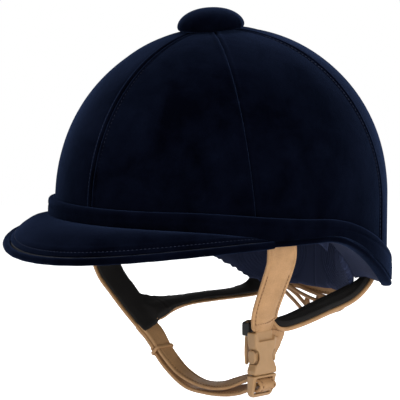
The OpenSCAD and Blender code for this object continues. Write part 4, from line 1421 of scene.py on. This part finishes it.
def makeArm(name, hand):
    # Springy arm with a half-round pad that fills the window
    w, foot, latch = buckle["width"] / 2, buckle["socketFoot"], buckle["latch"]
    disc = arc(hand * (w + buckle["bite"]), latch, buckle["thumb"] - buckle["clearance"], 0, 352, 45)
    plate = roundedPlate("pad", disc, -buckle["padHalf"], buckle["padHalf"], buckle["padDome"])
    keep = block("keep", (0, hand * 8.0, latch), (12, 6.4, 20), 0.3)
    cut(plate, keep, "INTERSECT")
    low, high = foot + 2.3, latch + 5
    arm = block("arm", (0, hand * buckle["armAcross"], (low + high) / 2),
                (buckle["bladeThick"], 2.8, high - low), 0.5)
    return moulded(joined(name, [plate, arm]))


dress(makeSocket(), *plasticLook, "harness", "buckle_socket")
dress(makeTongue(), *plasticLook, "tongue", "buckle_tongue")
dress(makeArm("latch_front", -1), *plasticLook, "front_arm", "latch_arm_front")
dress(makeArm("latch_rear", 1), *plasticLook, "rear_arm", "latch_arm_rear")
print("buckle made")

for name, look in (("outer_shell", "shell"), ("peak_core", "shell"), ("button_core", "shell"),
                   ("impact_liner", "foam"), ("harness_rivets", "steel"), ("button_rivet", "steel")):
    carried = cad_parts[name]
    carried.data.materials.clear()
    carried.data.materials.append(finish[look])

stage = {"floorDrop": 0.028, "size": 9.0, "fadeFrom": 0.25, "fadeTo": 1.4, "floorTone": 0.86,
         "lifted": 0.74, "skyStrength": 0.42, "skyColour": (0.93, 0.96, 1.0, 1)}
white = (1, 1, 1, 1)


def floorMaterial():
    # Pale floor that keeps the shadow near the object and turns plain white further out;
    # what the camera and mirrors see is lifted towards white
    material = bpy.data.materials.new("paleFloor")
    material.use_nodes = True
    tree = material.node_tree
    tree.nodes.remove(tree.nodes["Principled BSDF"])
    output = tree.nodes["Material Output"]
    path = node(tree, "LightPath")
    seen = math2(tree, "MAXIMUM", path.outputs["Is Camera Ray"],
                 math2(tree, "MAXIMUM", path.outputs["Is Glossy Ray"], path.outputs["Is Transmission Ray"]))
    reach = node(tree, "VectorMath", {0: place(tree, False)}, operation="LENGTH").outputs["Value"]
    fade = {"Value": reach, "From Min": stage["fadeFrom"], "From Max": stage["fadeTo"]}
    far = node(tree, "MapRange", fade, interpolation_type="SMOOTHSTEP").outputs["Result"]
    plain = node(tree, "BsdfDiffuse", {"Color": (*grey(stage["floorTone"]), 1)}).outputs[0]
    lifted = node(tree, "Emission", {"Color": white, "Strength": stage["lifted"]}).outputs[0]
    near = node(tree, "AddShader", {0: plain, 1: lifted}).outputs[0]
    plainWhite = node(tree, "Emission", {"Color": white, "Strength": 1.0}).outputs[0]
    shown = node(tree, "MixShader", {0: far, 1: near, 2: plainWhite}).outputs[0]
    both = node(tree, "MixShader", {0: seen, 1: plain, 2: shown}).outputs[0]
    tree.links.new(both, output.inputs["Surface"])
    return material


def makeFloor():
    # One square face below the helmet
    half = stage["size"] / 2
    z = cadBounds[0][2] - stage["floorDrop"]
    mesh = bpy.data.meshes.new("floor")
    corners = [(-half, -half, z), (half, -half, z), (half, half, z), (-half, half, z)]
    mesh.from_pydata(corners, [], [(0, 1, 2, 3)])
    floor = bpy.data.objects.new("floor", mesh)
    scene.collection.objects.link(floor)
    mesh.materials.append(floorMaterial())


def makeWorld():
    # White to the camera and through transmission, soft grey as a light and in mirrors
    world = bpy.data.worlds.new("studio")
    scene.world = world
    world.use_nodes = True
    tree = world.node_tree
    background = tree.nodes["Background"]
    background.inputs["Strength"].default_value = stage["skyStrength"]
    shown = node(tree, "Background", {"Color": white, "Strength": 1.0})
    path = node(tree, "LightPath")
    seen = math2(tree, "MAXIMUM", path.outputs["Is Camera Ray"], path.outputs["Is Transmission Ray"])
    mixed = node(tree, "MixShader", {0: seen, 1: background.outputs[0], 2: shown.outputs[0]})
    background.inputs["Color"].default_value = stage["skyColour"]
    tree.links.new(mixed.outputs[0], tree.nodes["World Output"].inputs["Surface"])


lamps = {  # place, aim, size and power
    "keyLamp": ((-0.35, -1.55, 1.15), (0, 0, 0.02), (1.0, 1.0), 14.5),
    "lowLamp": ((1.45, -0.8, 0.0), (-0.03, 0, -0.09), (0.9, 0.5), 7),
    "fillLamp": ((1.7, 0.15, 0.5), (0, 0, 0), (1.2, 1.2), 8),
    "topLamp": ((0.1, 0.2, 1.6), (0, 0, 0), (1.4, 1.4), 19),
    "backLamp": ((-1.1, 1.3, 0.9), (0, 0, 0.05), (1.2, 1.2), 12),
}


def areaLamp(name, spot, aim, size, power):
    # Rectangular lamp at a spot, turned towards its aim
    data = bpy.data.lights.new(name, "AREA")
    data.shape = "RECTANGLE"
    data.size, data.size_y = size
    data.energy = power
    lamp = bpy.data.objects.new(name, data)
    scene.collection.objects.link(lamp)
    lamp.location = spot
    lamp.rotation_euler = Vector(np.array(aim) - np.array(spot)).to_track_quat("-Z", "Y").to_euler()


makeFloor()
makeWorld()
for name, values in lamps.items():
    areaLamp(name, *values)

view = {"azimuth": 46, "elevation": 7, "distance": 1.9, "target": (-0.0114, -0.0122, 0.0207),
        "pixelsPerMillimetre": 1.32, "frame": 400, "sensor": 36}


def makeCamera():
    # Stands at the view's azimuth and elevation; the lens sets the scale at the target
    a, e = math.radians(view["azimuth"]), math.radians(view["elevation"])
    back = np.array([math.sin(a) * math.cos(e), -math.cos(a) * math.cos(e), math.sin(e)])
    data = bpy.data.cameras.new("camera")
    data.sensor_width = view["sensor"]
    span = view["frame"] / view["pixelsPerMillimetre"] * millimetre
    data.lens = view["sensor"] * view["distance"] / span
    data.clip_end = 50
    camera = bpy.data.objects.new("camera", data)
    scene.collection.objects.link(camera)
    camera.location = np.array(view["target"]) + back * view["distance"]
    camera.rotation_euler = Vector(-back).to_track_quat("-Z", "Y").to_euler()
    scene.camera = camera


makeCamera()
scene.view_settings.view_transform = "Standard"
print("stage ready")
